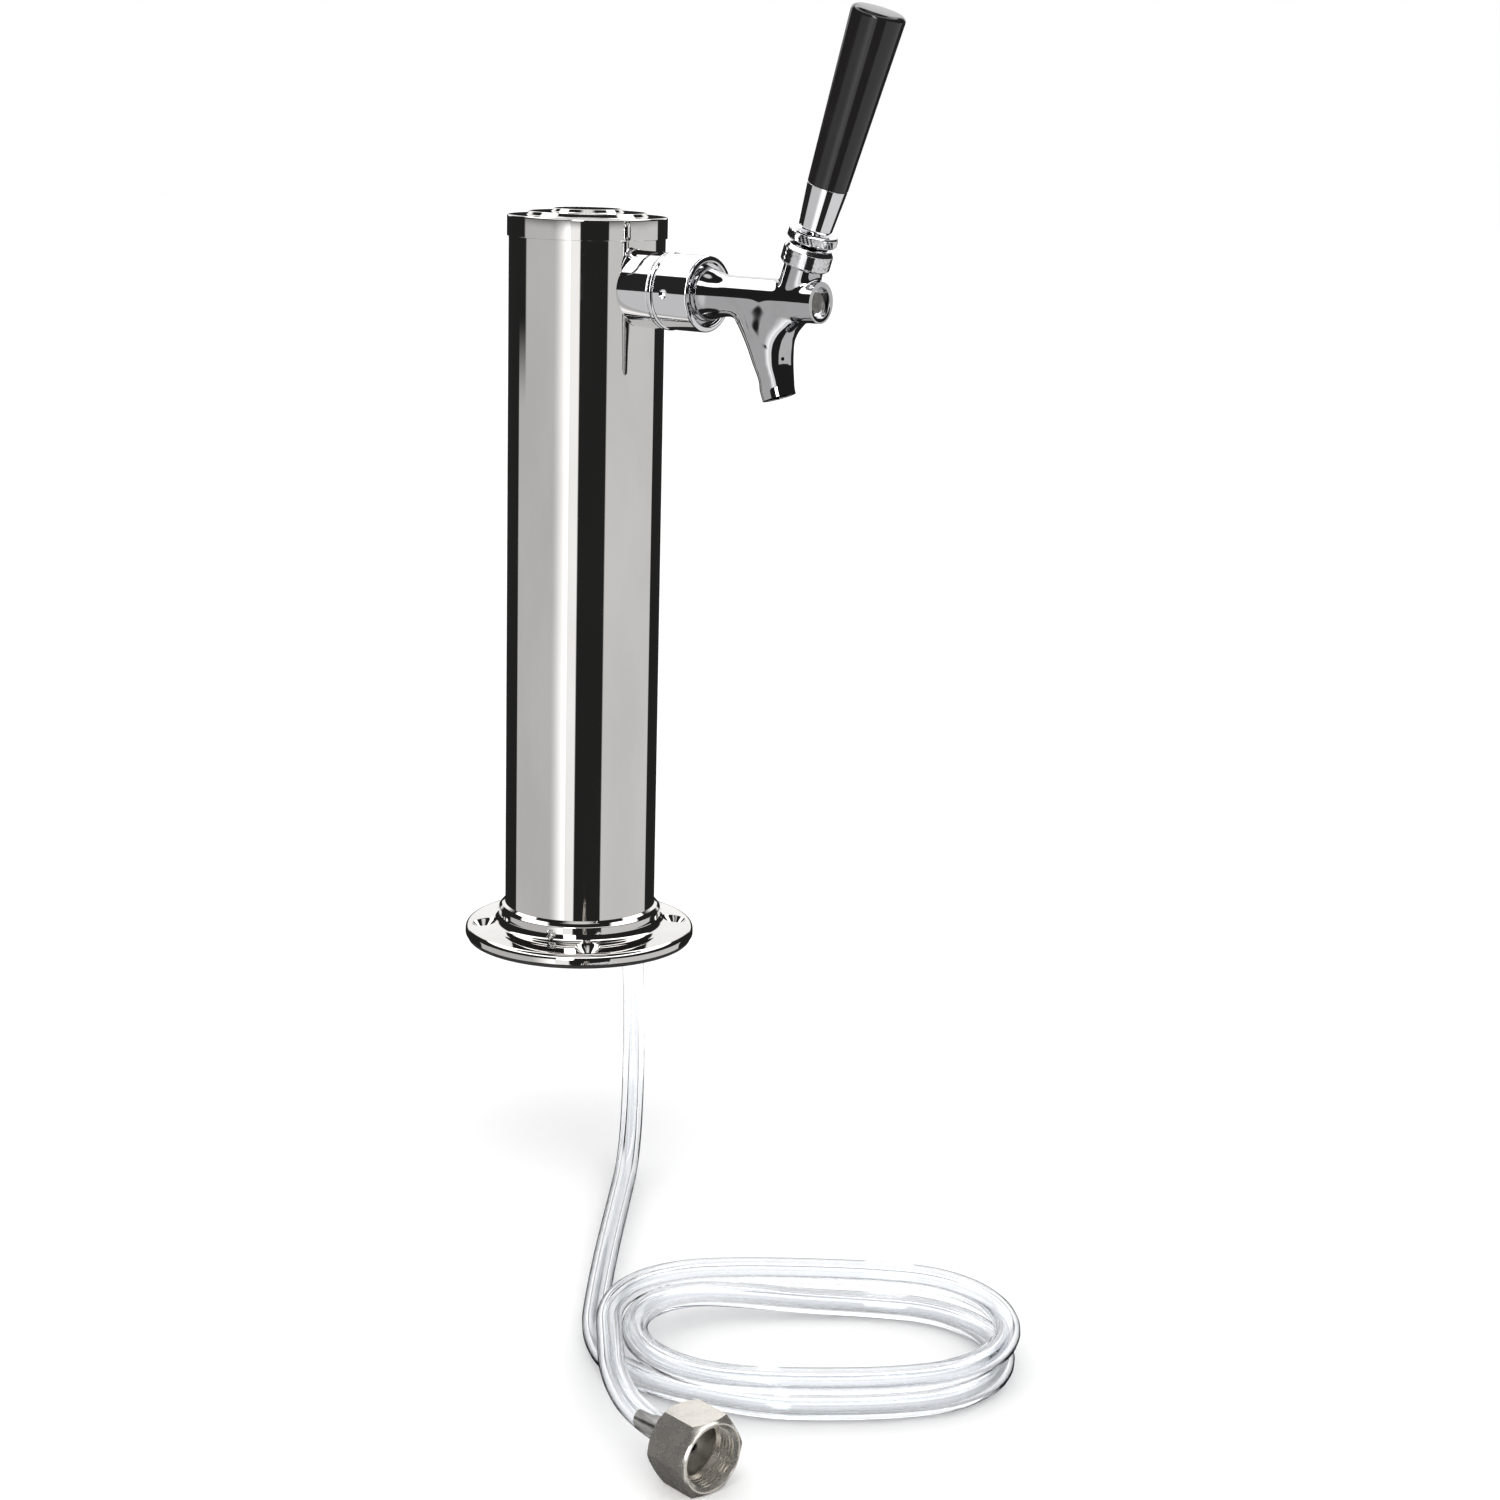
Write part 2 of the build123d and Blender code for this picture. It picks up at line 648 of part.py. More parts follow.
def tailpiece():
    body = disc(TAILPIECE_FACE_R, TAILPIECE_FACE - TAILPIECE_FACE_T, TAILPIECE_FACE)
    body += disc(TAILPIECE_HUB_R, -NUT_LENGTH, TAILPIECE_FACE)
    tip = -NUT_LENGTH - TAILPIECE_BARB_LENGTH
    body += barbed_tube(tip, TAILPIECE_FACE)
    return along_nut(body - disc(BARB_BORE_R, tip - 1, 1))


def line_nut():
    back = -NUT_LENGTH
    shoulder = -NUT_HEX_LENGTH
    hexagon = Pos(0, 0, shoulder) * extrude(
        RegularPolygon(NUT_FLATS / 2, 6, major_radius=False, rotation=30), amount=NUT_HEX_LENGTH
    )
    corner_r = NUT_FLATS / 2 / cos(pi / 6)
    envelope = turned([
        (0, shoulder), (NUT_FLATS / 2 - 0.6, shoulder), (corner_r, shoulder + 1.8),
        (corner_r, -2.6), (NUT_FLATS / 2 - 0.2, -0.6), (NUT_FLATS / 2 - 0.8, 0), (0, 0),
    ])
    body = (hexagon & envelope) + cone(*NUT_NECK_R, back, shoulder)
    body -= disc(NUT_THREAD_R, -NUT_THREAD_DEPTH, 1)
    body -= cone(NUT_THREAD_R, NUT_THREAD_R + NUT_CHAMFER, -NUT_CHAMFER, 0)
    body -= disc(TAILPIECE_FACE_R + FIT, TAILPIECE_FACE - TAILPIECE_FACE_T - 0.3, 0)
    return along_nut(body - disc(TAILPIECE_HUB_R + 0.3, back - 1, 0))


MAKERS = [
    column_tube, base_flange, base_gasket, collar_set_screws, top_cap, insulation_sleeve,
    shank_sleeve, shank, inner_saddle, shank_lock_nut, hose_clamp, coupling_nut,
    coupling_washer, faucet_body, shaft_guide, faucet_shaft, seat_washer, shaft_nut,
    ball_lever, lever_seat, lever_bushing, bonnet, lever_collar, handle_ferrule,
    handle_grip, handle_insert, beer_line, beer_line_coil, beer_line_tail, tailpiece, line_nut,
]

os.makedirs("parts", exist_ok=True)
for maker in MAKERS:
    export_step(maker(), f"parts/{maker.__name__}.step")
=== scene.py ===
"""Beer tap tower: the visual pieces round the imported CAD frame, laid out as an add-on."""

import json
import sys
from math import asin, cos, hypot, pi, radians, sin, tan

import bmesh
import bpy
from mathutils import Matrix, Vector
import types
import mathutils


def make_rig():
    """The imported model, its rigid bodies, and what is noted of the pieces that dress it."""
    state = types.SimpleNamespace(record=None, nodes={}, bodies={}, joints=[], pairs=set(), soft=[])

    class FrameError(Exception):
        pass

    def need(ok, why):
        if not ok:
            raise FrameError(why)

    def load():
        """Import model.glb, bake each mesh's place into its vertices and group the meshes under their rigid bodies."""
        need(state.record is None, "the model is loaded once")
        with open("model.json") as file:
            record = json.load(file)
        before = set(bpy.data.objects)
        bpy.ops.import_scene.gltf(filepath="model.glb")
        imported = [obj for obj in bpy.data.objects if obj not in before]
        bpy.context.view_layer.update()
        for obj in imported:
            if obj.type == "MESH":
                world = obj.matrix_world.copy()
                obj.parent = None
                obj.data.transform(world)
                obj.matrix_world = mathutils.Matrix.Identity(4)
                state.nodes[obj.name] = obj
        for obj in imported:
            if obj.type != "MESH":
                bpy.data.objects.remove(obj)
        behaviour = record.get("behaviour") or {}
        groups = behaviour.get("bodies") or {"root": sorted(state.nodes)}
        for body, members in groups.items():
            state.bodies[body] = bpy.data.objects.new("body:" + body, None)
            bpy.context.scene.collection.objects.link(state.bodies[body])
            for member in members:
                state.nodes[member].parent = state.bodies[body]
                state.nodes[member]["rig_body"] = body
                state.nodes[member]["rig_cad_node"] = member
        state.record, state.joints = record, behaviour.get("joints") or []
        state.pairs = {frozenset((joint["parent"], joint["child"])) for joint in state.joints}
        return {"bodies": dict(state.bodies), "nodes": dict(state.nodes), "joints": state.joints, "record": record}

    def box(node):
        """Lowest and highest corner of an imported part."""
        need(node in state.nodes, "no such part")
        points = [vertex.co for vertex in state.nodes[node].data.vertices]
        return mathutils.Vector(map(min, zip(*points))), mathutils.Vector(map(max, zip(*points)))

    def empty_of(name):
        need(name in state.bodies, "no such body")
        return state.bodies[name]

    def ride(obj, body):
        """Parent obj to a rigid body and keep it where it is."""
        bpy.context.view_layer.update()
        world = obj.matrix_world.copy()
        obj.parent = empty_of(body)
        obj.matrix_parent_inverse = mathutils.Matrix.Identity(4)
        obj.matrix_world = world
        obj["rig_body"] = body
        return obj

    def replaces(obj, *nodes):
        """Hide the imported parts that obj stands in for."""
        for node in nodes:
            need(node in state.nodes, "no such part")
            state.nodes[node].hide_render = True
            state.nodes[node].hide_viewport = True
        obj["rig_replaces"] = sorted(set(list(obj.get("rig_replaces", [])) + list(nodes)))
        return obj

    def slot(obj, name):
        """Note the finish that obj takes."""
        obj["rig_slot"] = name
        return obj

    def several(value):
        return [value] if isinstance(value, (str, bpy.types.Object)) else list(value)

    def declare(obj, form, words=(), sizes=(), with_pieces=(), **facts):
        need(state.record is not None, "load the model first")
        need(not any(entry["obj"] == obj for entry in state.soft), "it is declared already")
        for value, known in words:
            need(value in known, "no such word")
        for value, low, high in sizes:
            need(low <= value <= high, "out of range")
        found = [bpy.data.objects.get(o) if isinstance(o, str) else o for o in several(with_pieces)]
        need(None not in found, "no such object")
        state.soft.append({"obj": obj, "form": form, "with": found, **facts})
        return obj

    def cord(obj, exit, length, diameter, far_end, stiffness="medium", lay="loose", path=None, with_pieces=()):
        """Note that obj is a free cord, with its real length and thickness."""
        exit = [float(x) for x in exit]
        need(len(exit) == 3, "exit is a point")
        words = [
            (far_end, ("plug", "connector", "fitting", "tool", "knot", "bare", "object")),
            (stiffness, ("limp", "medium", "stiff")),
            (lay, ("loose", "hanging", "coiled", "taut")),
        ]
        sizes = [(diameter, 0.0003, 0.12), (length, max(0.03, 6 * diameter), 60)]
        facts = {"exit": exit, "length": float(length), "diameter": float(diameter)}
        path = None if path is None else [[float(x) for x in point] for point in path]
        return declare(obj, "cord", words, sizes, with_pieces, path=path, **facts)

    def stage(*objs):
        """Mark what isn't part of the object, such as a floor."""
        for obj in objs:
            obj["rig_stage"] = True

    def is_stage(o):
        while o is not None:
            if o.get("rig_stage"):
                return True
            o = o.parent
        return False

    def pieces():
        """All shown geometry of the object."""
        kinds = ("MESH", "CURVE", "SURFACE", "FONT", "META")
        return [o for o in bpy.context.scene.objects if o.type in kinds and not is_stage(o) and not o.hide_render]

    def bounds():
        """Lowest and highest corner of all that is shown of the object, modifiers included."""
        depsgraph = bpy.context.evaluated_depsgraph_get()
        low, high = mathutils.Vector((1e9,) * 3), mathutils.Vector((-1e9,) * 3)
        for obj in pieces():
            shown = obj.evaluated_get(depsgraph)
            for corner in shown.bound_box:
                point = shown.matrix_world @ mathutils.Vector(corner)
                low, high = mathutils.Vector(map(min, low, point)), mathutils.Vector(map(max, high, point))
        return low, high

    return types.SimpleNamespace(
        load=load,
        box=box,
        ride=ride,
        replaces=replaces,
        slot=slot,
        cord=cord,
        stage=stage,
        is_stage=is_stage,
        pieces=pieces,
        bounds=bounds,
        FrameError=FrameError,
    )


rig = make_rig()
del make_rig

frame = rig.load()
CAD_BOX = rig.bounds()
NODES = frame["nodes"]
JOINTS = {joint["name"]: joint for joint in frame["joints"]}
MOUNTS = {mount["name"]: mount for mount in frame["record"]["mounts"]}

bl_info = {
    "name": "Beer Tap Tower",
    "version": (1, 0, 0),
    "blender": (4, 5, 0),
    "location": "View3D > Sidebar > Tap Tower",
    "description": "Builds the visible pieces of a draft beer tower on its CAD frame",
    "category": "Object",
}

MM = 0.001


def span(node, axis):
    """Where a CAD node starts and ends along an axis, in millimetres."""
    low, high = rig.box(node)
    index = "xyz".index(axis)
    return low[index] / MM, high[index] / MM


# ---------------------------------------------------------------- places, in millimetres

COLUMN_R = span("column_tube", "x")[1]
COLUMN_Z = span("column_tube", "z")
SHANK_Z = sum(span("coupling_nut", "z")) / 2
LEVER_LEAN = radians(18)
LEVER_FOOT_REACH = 124.6
SPOUT_AXIS = Vector(MOUNTS["spout_outlet"]["axis"])
SPOUT_TIP = Vector(MOUNTS["spout_outlet"]["pos_m"]) + SPOUT_AXIS * 4 * MM
NUT_FACE = Vector(JOINTS["nut_swivel"]["pos_m"])
NUT_AXIS = Vector(JOINTS["nut_swivel"]["axis"])
FLOOR_Z = CAD_BOX[0].z

ALONG_REACH = Matrix.Translation((0, 0, SHANK_Z * MM)) @ Matrix.Rotation(pi / 2, 4, "X")
ALONG_LEVER = Matrix.Translation((0, -LEVER_FOOT_REACH * MM, SHANK_Z * MM)) @ Matrix.Rotation(
    LEVER_LEAN, 4, "X"
)
UP_SPOUT = Matrix.Translation(SPOUT_TIP) @ (-SPOUT_AXIS).to_track_quat("Z", "X").to_matrix().to_4x4()
ALONG_NUT = Matrix.Translation(NUT_FACE) @ NUT_AXIS.to_track_quat("Z", "Y").to_matrix().to_4x4()

# The hose's route: listed points to the coil and from it, and the coil's turns by a loop.
LINE_ROUTE = [
    (0, 0, 321), (-1, 1, 240), (0, 0, 165), (4, -5, 100), (12, -16, 45), (16, -22, 2),
    (15, -25, -38), (-1, -38, -76), (-31, -60, -98), (-73, -88, -99.45), (-119, -119, -99.45),
    (-162, -149, -99.45), (-193, -172, -99.45), (-211.7, -196.6, -99.45), (-215.1, -224.7, -99.45),
]
TAIL_ROUTE = [
    (-170.3, -174.7, -84.6), (-195.8, -182.6, -84), (-218, -202, -85), (-239, -221, -87.5),
    (-256.3, -247.9, -90), (-260.1, -267.2, -90),
]
COIL_LOW = {"centre": (-147.3, -259.3), "half": (80.5, 50.0)}
COIL_HIGH = {"centre": (-140.4, -254.2), "half": (88.0, 49.5)}
COIL_END_R = 48.0
COIL_AXIS = radians(-50)
COIL_POINTS_A_TURN = 16
COIL_LAST_POINT = 26


# ---------------------------------------------------------------- sizes and colours


class TowerSizes(bpy.types.PropertyGroup):
    """Sizes of the visible pieces that a user may change."""

    hose_diameter: bpy.props.FloatProperty(
        name="Hose diameter", description="Outside diameter of the beer line",
        default=0.0111, min=0.006, max=0.02, unit="LENGTH",
    )
    hose_wall: bpy.props.FloatProperty(
        name="Hose wall", description="Wall thickness of the beer line",
        default=0.00317, min=0.0005, max=0.005, unit="LENGTH",
    )
    lathe_steps: bpy.props.IntProperty(
        name="Lathe steps", description="Faces round a turned piece", default=192, min=24, max=512,
    )
    knurl_teeth: bpy.props.IntProperty(
        name="Knurl teeth", description="Teeth round the knurled bonnet and lever collar",
        default=36, min=20, max=120,
    )
    knurl_depth: bpy.props.FloatProperty(
        name="Knurl depth", description="Height of a knurl's tooth", default=0.0006, min=0, max=0.001,
        precision=5, unit="LENGTH",
    )
    thread_pitch: bpy.props.FloatProperty(
        name="Thread pitch", description="Pitch of the line nut's thread", default=0.001814,
        min=0.0005, max=0.004, precision=6, unit="LENGTH",
    )
    cast_voxel: bpy.props.FloatProperty(
        name="Casting voxel", description="Grain of the mesh that the faucet's casting is blended from",
        default=0.0008, min=0.0004, max=0.002, precision=5, unit="LENGTH",
    )


def colour(name, description, default):
    """A colour property with a name, a description and a default."""
    return bpy.props.FloatVectorProperty(
        name=name, description=description, subtype="COLOR", size=3, min=0, max=1, default=default
    )


class TowerColours(bpy.types.PropertyGroup):
    """Base colours of the finishes."""

    steel: colour("Stainless", "Polished stainless column, cap and base", (0.78, 0.765, 0.745))
    chrome: colour("Chrome", "Chrome plate on the shank and faucet", (0.86, 0.86, 0.875))
    nickel: colour("Nickel", "Nickel plate on the line nut", (0.72, 0.685, 0.63))
    turned_steel: colour("Turned steel", "Turned face of the tailpiece", (0.34, 0.33, 0.31))
    grip: colour("Grip", "Phenolic of the handle", (0.012, 0.011, 0.011))
    rubber: colour("Rubber", "Gasket and washers", (0.018, 0.017, 0.016))
    brass: colour("Brass", "Inner nuts and the handle's insert", (0.68, 0.47, 0.20))
    nylon: colour("Nylon", "Bushing and saddle", (0.03, 0.03, 0.032))
    foam: colour("Foam", "Insulation round the beer line", (0.16, 0.16, 0.165))
    vinyl: colour("Vinyl", "Tint of the clear hose", (0.965, 0.98, 1.0))
    floor: colour("Floor", "The studio's floor", (0.95, 0.95, 0.95))


class StudioSettings(bpy.types.PropertyGroup):
    """Camera and light."""

    lens: bpy.props.FloatProperty(
        name="Lens", description="Focal length on a 36 mm sensor", default=66.63, min=20, max=200,
        unit="CAMERA",
    )
    distance: bpy.props.FloatProperty(
        name="Camera distance", description="Level distance from the column to the camera",
        default=1.3712, min=0.3, max=5, unit="LENGTH",
    )
    height: bpy.props.FloatProperty(
        name="Camera height", description="Height of the camera over the tower's base",
        default=0.4239, min=0, max=2, unit="LENGTH",
    )
    azimuth: bpy.props.FloatProperty(
        name="View azimuth", description="Where the camera stands: 0 looks along +Y",
        default=radians(-50), subtype="ANGLE",
    )
    daylight: bpy.props.FloatProperty(
        name="Daylight", description="Strength of the even light from all round", default=1.25, min=0, max=5,
    )
    key_power: bpy.props.FloatProperty(
        name="Key light", description="Power of the soft overhead light", default=2.0, min=0, max=100,
        unit="POWER",
    )


# ---------------------------------------------------------------- shader expressions


class Value:
    """A socket in a material, with arithmetic that adds its Math nodes."""

    def __init__(self, shader, socket):
        self.shader = shader
        self.socket = socket

    def _math(self, operation, *values):
        return self.shader.node("ShaderNodeMath", {"operation": operation}, dict(enumerate(values)))

    def __add__(self, other):
        return self._math("ADD", self, other)

    __radd__ = __add__

    def __sub__(self, other):
        return self._math("SUBTRACT", self, other)

    def __rsub__(self, other):
        return self._math("SUBTRACT", other, self)

    def __mul__(self, other):
        return self._math("MULTIPLY", self, other)

    __rmul__ = __mul__

    def __truediv__(self, other):
        return self._math("DIVIDE", self, other)

    def __pow__(self, other):
        return self._math("POWER", self, other)

    def ramp(self, low, high):
        """0 below low, 1 above high, smooth between."""
        settings = {"interpolation_type": "SMOOTHSTEP"}
        return self.shader.node(
            "ShaderNodeMapRange", settings, {"Value": self, "From Min": low, "From Max": high}
        )

    def band(self, low, high, soft):
        """1 between low and high, fading over soft on both sides."""
        return self.ramp(low - soft, low + soft) * (1 - self.ramp(high - soft, high + soft))


class Shader:
    """Builds the nodes of one material or world."""

    def __init__(self, tree):
        self.tree = tree
        tree.nodes.clear()

    def node(self, kind, settings=None, inputs=None, output=0):
        """Adds a node: its settings first, then its sockets' values or links. Returns one output."""
        made = self.tree.nodes.new(kind)
        for key, value in (settings or {}).items():
            if key == "stops":
                self._set_stops(made.color_ramp, value)
            else:
                setattr(made, key, value)
        for key, value in (inputs or {}).items():
            if isinstance(value, Value):
                self.tree.links.new(value.socket, made.inputs[key])
            else:
                made.inputs[key].default_value = value
        return Value(self, made.outputs[output]) if made.outputs else None

    def _set_stops(self, ramp, stops):
        while len(ramp.elements) < len(stops):
            ramp.elements.new(1.0)
        for element, (position, shade) in zip(ramp.elements, stops):
            element.position = position
            element.color = (*shade, 1.0)

    def place(self):
        return self.node("ShaderNodeTexCoord", output="Object")

    def noise(self, scale, detail=3.0, stretch=(1, 1, 1), roughness=0.5):
        """Noise over the piece: scale in repeats a metre, stretched by a factor on each axis."""
        spot = self.node("ShaderNodeMapping", None, {"Vector": self.place(), "Scale": stretch})
        inputs = {"Vector": spot, "Scale": scale, "Detail": detail, "Roughness": roughness}
        return self.node("ShaderNodeTexNoise", None, inputs)

    def mix(self, factor, first, second):
        """Colour from first to second by the factor."""
        inputs = {0: factor, 6: first, 7: second}
        return self.node("ShaderNodeMix", {"data_type": "RGBA"}, inputs, output=2)

    def bump(self, height, strength, distance):
        return self.node(
            "ShaderNodeBump", None, {"Height": height, "Strength": strength, "Distance": distance}
        )


FINISH = "_finish"


def material(name, inputs, build=None):
    """A material with a Principled shader. build(shader) returns what varies over the surface."""
    made = bpy.data.materials.new(name + FINISH)
    made.use_nodes = True
    shader = Shader(made.node_tree)
    varying = build(shader) if build else {}
    surface = shader.node("ShaderNodeBsdfPrincipled", None, {**inputs, **varying})
    shader.node("ShaderNodeOutputMaterial", None, {"Surface": surface})
    made.diffuse_color = (*tuple(inputs.get("Base Color", (0.8, 0.8, 0.8, 1)))[:3], 1)
    return made


def solid(rgb):
    return (rgb[0], rgb[1], rgb[2], 1.0)


def shade(rgb, factor):
    return (rgb[0] * factor, rgb[1] * factor, rgb[2] * factor, 1.0)


def polished_stainless():
    """Buffed sheet: a mirror with faint upright polishing lines, cloudy patches and finger smears."""
    tint = bpy.context.scene.tower_colours.steel

    def build(shader):
        lines = shader.noise(900, 2, (1, 1, 0.02))
        clouds = shader.noise(28, 4, (1, 1, 0.35))
        smears = shader.noise(70, 5, (1, 1, 0.6)).ramp(0.55, 0.75)
        rolls = shader.noise(9, 1, (1, 1, 0.5))
        return {
            "Base Color": shader.mix(clouds.ramp(0.35, 0.7) + lines * 0.25, shade(tint, 0.92), solid(tint)),
            "Roughness": 0.012 + lines * 0.02 + smears * 0.05,
            "Normal": shader.bump(rolls, 0.3, 0.0002),
        }

    return material("polished_stainless", {"Metallic": 1.0}, build)


def chrome_plate():
    """Bright chrome: a clean mirror with a trace of haze where it has been handled."""
    tint = bpy.context.scene.tower_colours.chrome

    def build(shader):
        haze = shader.noise(90, 5).ramp(0.5, 0.8)
        ripple = shader.noise(160, 2)
        return {
            "Base Color": shader.mix(haze, solid(tint), shade(tint, 0.96)),
            "Roughness": 0.02 + haze * 0.05,
            "Normal": shader.bump(ripple, 0.04, 0.00004),
        }

    return material("chrome_plate", {"Metallic": 1.0}, build)


def cast_chrome():
    """Chrome over a casting: a slightly wavy mirror, its tint darkened all over as painted shade so that it reflects
    darker than the turned pieces.
    """
    tint = bpy.context.scene.tower_colours.chrome

    def build(shader):
        haze = shader.noise(90, 5).ramp(0.5, 0.8)
        ripple = shader.noise(110, 2)
        return {
            # Painted shade: the chrome tint is cut to about two thirds all over to darken the casting's reflections;
            # the haze varies it a little.
            "Base Color": shader.mix(haze, shade(tint, 0.68), shade(tint, 0.62)),
            "Roughness": 0.02 + haze * 0.05,
            "Normal": shader.bump(ripple, 0.06, 0.00006),
        }

    return material("cast_chrome", {"Metallic": 1.0}, build)


def knurled_chrome():
    """Chrome over knurling, with random darker and duller patches of grime."""
    tint = bpy.context.scene.tower_colours.chrome

    def build(shader):
        grime = shader.noise(700, 3).ramp(0.4, 0.8)
        return {
            "Base Color": shader.mix(grime, solid(tint), shade(tint, 0.72)),
            "Roughness": 0.06 + grime * 0.12,
        }

    return material("knurled_chrome", {"Metallic": 1.0}, build)


def nickel_plate():
    """Dull nickel over brass, slightly warm, with fine specks and rubbed patches."""
    tint = bpy.context.scene.tower_colours.nickel

    def build(shader):
        specks = shader.noise(1500, 4).ramp(0.52, 0.72)
        patches = shader.noise(120, 4).ramp(0.4, 0.7)
        grain = shader.noise(2600, 2)
        return {
            "Base Color": shader.mix(specks * 0.5 + patches * 0.4, solid(tint), shade(tint, 0.7)),
            "Roughness": 0.2 + patches * 0.12 + specks * 0.1,
            "Normal": shader.bump(grain, 0.15, 0.00003),
        }

    return material("nickel_plate", {"Metallic": 0.85}, build)


def turned_steel():
    """A lathe-faced steel disc, with fine rings round its own axis."""
    tint = bpy.context.scene.tower_colours.turned_steel

    def build(shader):
        offset = shader.node(
            "ShaderNodeVectorMath", {"operation": "SUBTRACT"}, {0: shader.place(), 1: tuple(NUT_FACE)}
        )
        radius = shader.node("ShaderNodeVectorMath", {"operation": "LENGTH"}, {0: offset}, output="Value")
        spot = shader.node("ShaderNodeCombineXYZ", None, {"X": radius})
        rings = shader.node("ShaderNodeTexNoise", None, {"Vector": spot, "Scale": 2600.0, "Detail": 2.0})
        dirt = shader.noise(260, 4)
        return {
            "Base Color": shader.mix(dirt.ramp(0.35, 0.75), shade(tint, 0.75), shade(tint, 1.15)),
            "Roughness": 0.24 + rings * 0.16,
            "Normal": shader.bump(rings, 0.35, 0.00006),
        }

    return material("turned_steel", {"Metallic": 1.0}, build)


def glossy_grip():
    """Polished black phenolic under a hard gloss, with faint dust and hairline wear."""
    tint = bpy.context.scene.tower_colours.grip

    def build(shader):
        dust = shader.noise(1200, 4).ramp(0.66, 0.8)
        wear = shader.noise(60, 5).ramp(0.5, 0.8)
        return {
            "Base Color": shader.mix(dust * 0.6 + wear * 0.2, solid(tint), shade(tint, 3.0)),
            "Roughness": 0.12 + wear * 0.08,
        }

    return material("glossy_grip", {"Coat Weight": 0.2, "Coat Roughness": 0.04, "IOR": 1.42}, build)


def black_rubber():
    tint = bpy.context.scene.tower_colours.rubber

    def build(shader):
        grain = shader.noise(1800, 3)
        return {
            "Base Color": shader.mix(grain, shade(tint, 0.7), shade(tint, 1.6)),
            "Roughness": 0.55 + grain * 0.2,
            "Normal": shader.bump(grain, 0.2, 0.0001),
        }

    return material("black_rubber", {}, build)


def plain_brass():
    tint = bpy.context.scene.tower_colours.brass

    def build(shader):
        stain = shader.noise(180, 4).ramp(0.35, 0.75)
        return {
            "Base Color": shader.mix(stain, solid(tint), shade(tint, 0.6)),
            "Roughness": 0.22 + stain * 0.2,
        }

    return material("plain_brass", {"Metallic": 1.0}, build)


def black_nylon():
    tint = bpy.context.scene.tower_colours.nylon

    def build(shader):
        grain = shader.noise(900, 3)
        return {
            "Base Color": shader.mix(grain, shade(tint, 0.8), shade(tint, 1.4)),
            "Roughness": 0.42 + grain * 0.15,
            "Normal": shader.bump(grain, 0.1, 0.0001),
        }

    return material("black_nylon", {}, build)


def grey_foam():
    tint = bpy.context.scene.tower_colours.foam

    def build(shader):
        cells = shader.node(
            "ShaderNodeTexVoronoi", None, {"Vector": shader.place(), "Scale": 700.0}, output="Distance"
        )
        return {
            "Base Color": shader.mix(cells, shade(tint, 0.6), shade(tint, 1.3)),
            "Roughness": 0.85 + cells * 0.1,
            "Normal": shader.bump(cells, 0.6, 0.0004),
        }

    return material("grey_foam", {}, build)


def satin_steel():
    def build(shader):
        lines = shader.noise(1200, 2, (1, 1, 0.1))
        return {"Roughness": 0.22 + lines * 0.2, "Normal": shader.bump(lines, 0.2, 0.00005)}

    return material("satin_steel", {"Metallic": 1.0, "Base Color": (0.55, 0.545, 0.53, 1)}, build)


def clear_vinyl():
    """Clear flexible hose: see-through, with its colour painted dark and cool where the eye meets its wall edge-on, as
    painted shade for the dark edges of a clear tube.
    """
    tint = bpy.context.scene.tower_colours.vinyl

    def build(shader):
        waves = shader.noise(45, 3)
        rim = shader.node("ShaderNodeLayerWeight", None, {"Blend": 0.35}, output="Facing")
        return {
            # Painted shade: by view angle the colour darkens to a dark blue-grey towards the hose's outline, standing
            # in for the dark edge lines of a clear tube.
            "Base Color": shader.mix(rim.ramp(0.6, 0.97), solid(tint), (0.12, 0.15, 0.19, 1)),
            "Roughness": 0.01 + waves * 0.03,
            "Normal": shader.bump(waves, 0.12, 0.0006),
        }

    return material("clear_vinyl", {"Transmission Weight": 1.0, "IOR": 1.5}, build)


# ---------------------------------------------------------------- shape helpers


def rounded(outline, steps=5):
    """An outline of (radius, height) or (radius, height, rounding) points with its arcs put in."""
    points = []
    count = len(outline)
    for i, point in enumerate(outline):
        here = Vector(point[:2])
        if len(point) < 3:
            points.append(here)
            continue
        before = (Vector(outline[i - 1][:2]) - here).normalized()
        after = (Vector(outline[(i + 1) % count][:2]) - here).normalized()
        half = before.angle(after) / 2
        reach = point[2] / tan(half)
        middle = here + (before + after).normalized() * point[2] / sin(half)
        start = here + before * reach - middle
        end = here + after * reach - middle
        turn = start.angle_signed(end)
        for step in range(steps + 1):
            spoke = start.copy()
            spoke.rotate(Matrix.Rotation(-turn * step / steps, 2))
            points.append(middle + spoke)
    return points


def turned(outline, place=None, steps=None):
    """A closed shape of revolution from an outline in millimetres, put in its place."""
    shape = bmesh.new()
    steps = steps or bpy.context.scene.tower_sizes.lathe_steps
    verts = [shape.verts.new((max(p[0], 0) * MM, 0, p[1] * MM)) for p in rounded(outline)]
    edges = [shape.edges.new(pair) for pair in zip(verts, verts[1:] + verts[:1])]
    bmesh.ops.spin(
        shape, geom=verts + edges, axis=(0, 0, 1), cent=(0, 0, 0), angle=2 * pi, steps=steps, use_merge=True
    )
    bmesh.ops.remove_doubles(shape, verts=shape.verts, dist=1e-7)
    bmesh.ops.dissolve_degenerate(shape, edges=shape.edges, dist=1e-7)
    bmesh.ops.recalc_face_normals(shape, faces=shape.faces)
    if place:
        shape.transform(place)
    return shape


def rod(radius, low, high, place=None, steps=48):
    """A plain turned pin in millimetres, for building up or cutting other shapes."""
    return turned([(0, low), (radius, low), (radius, high), (0, high)], place, steps)


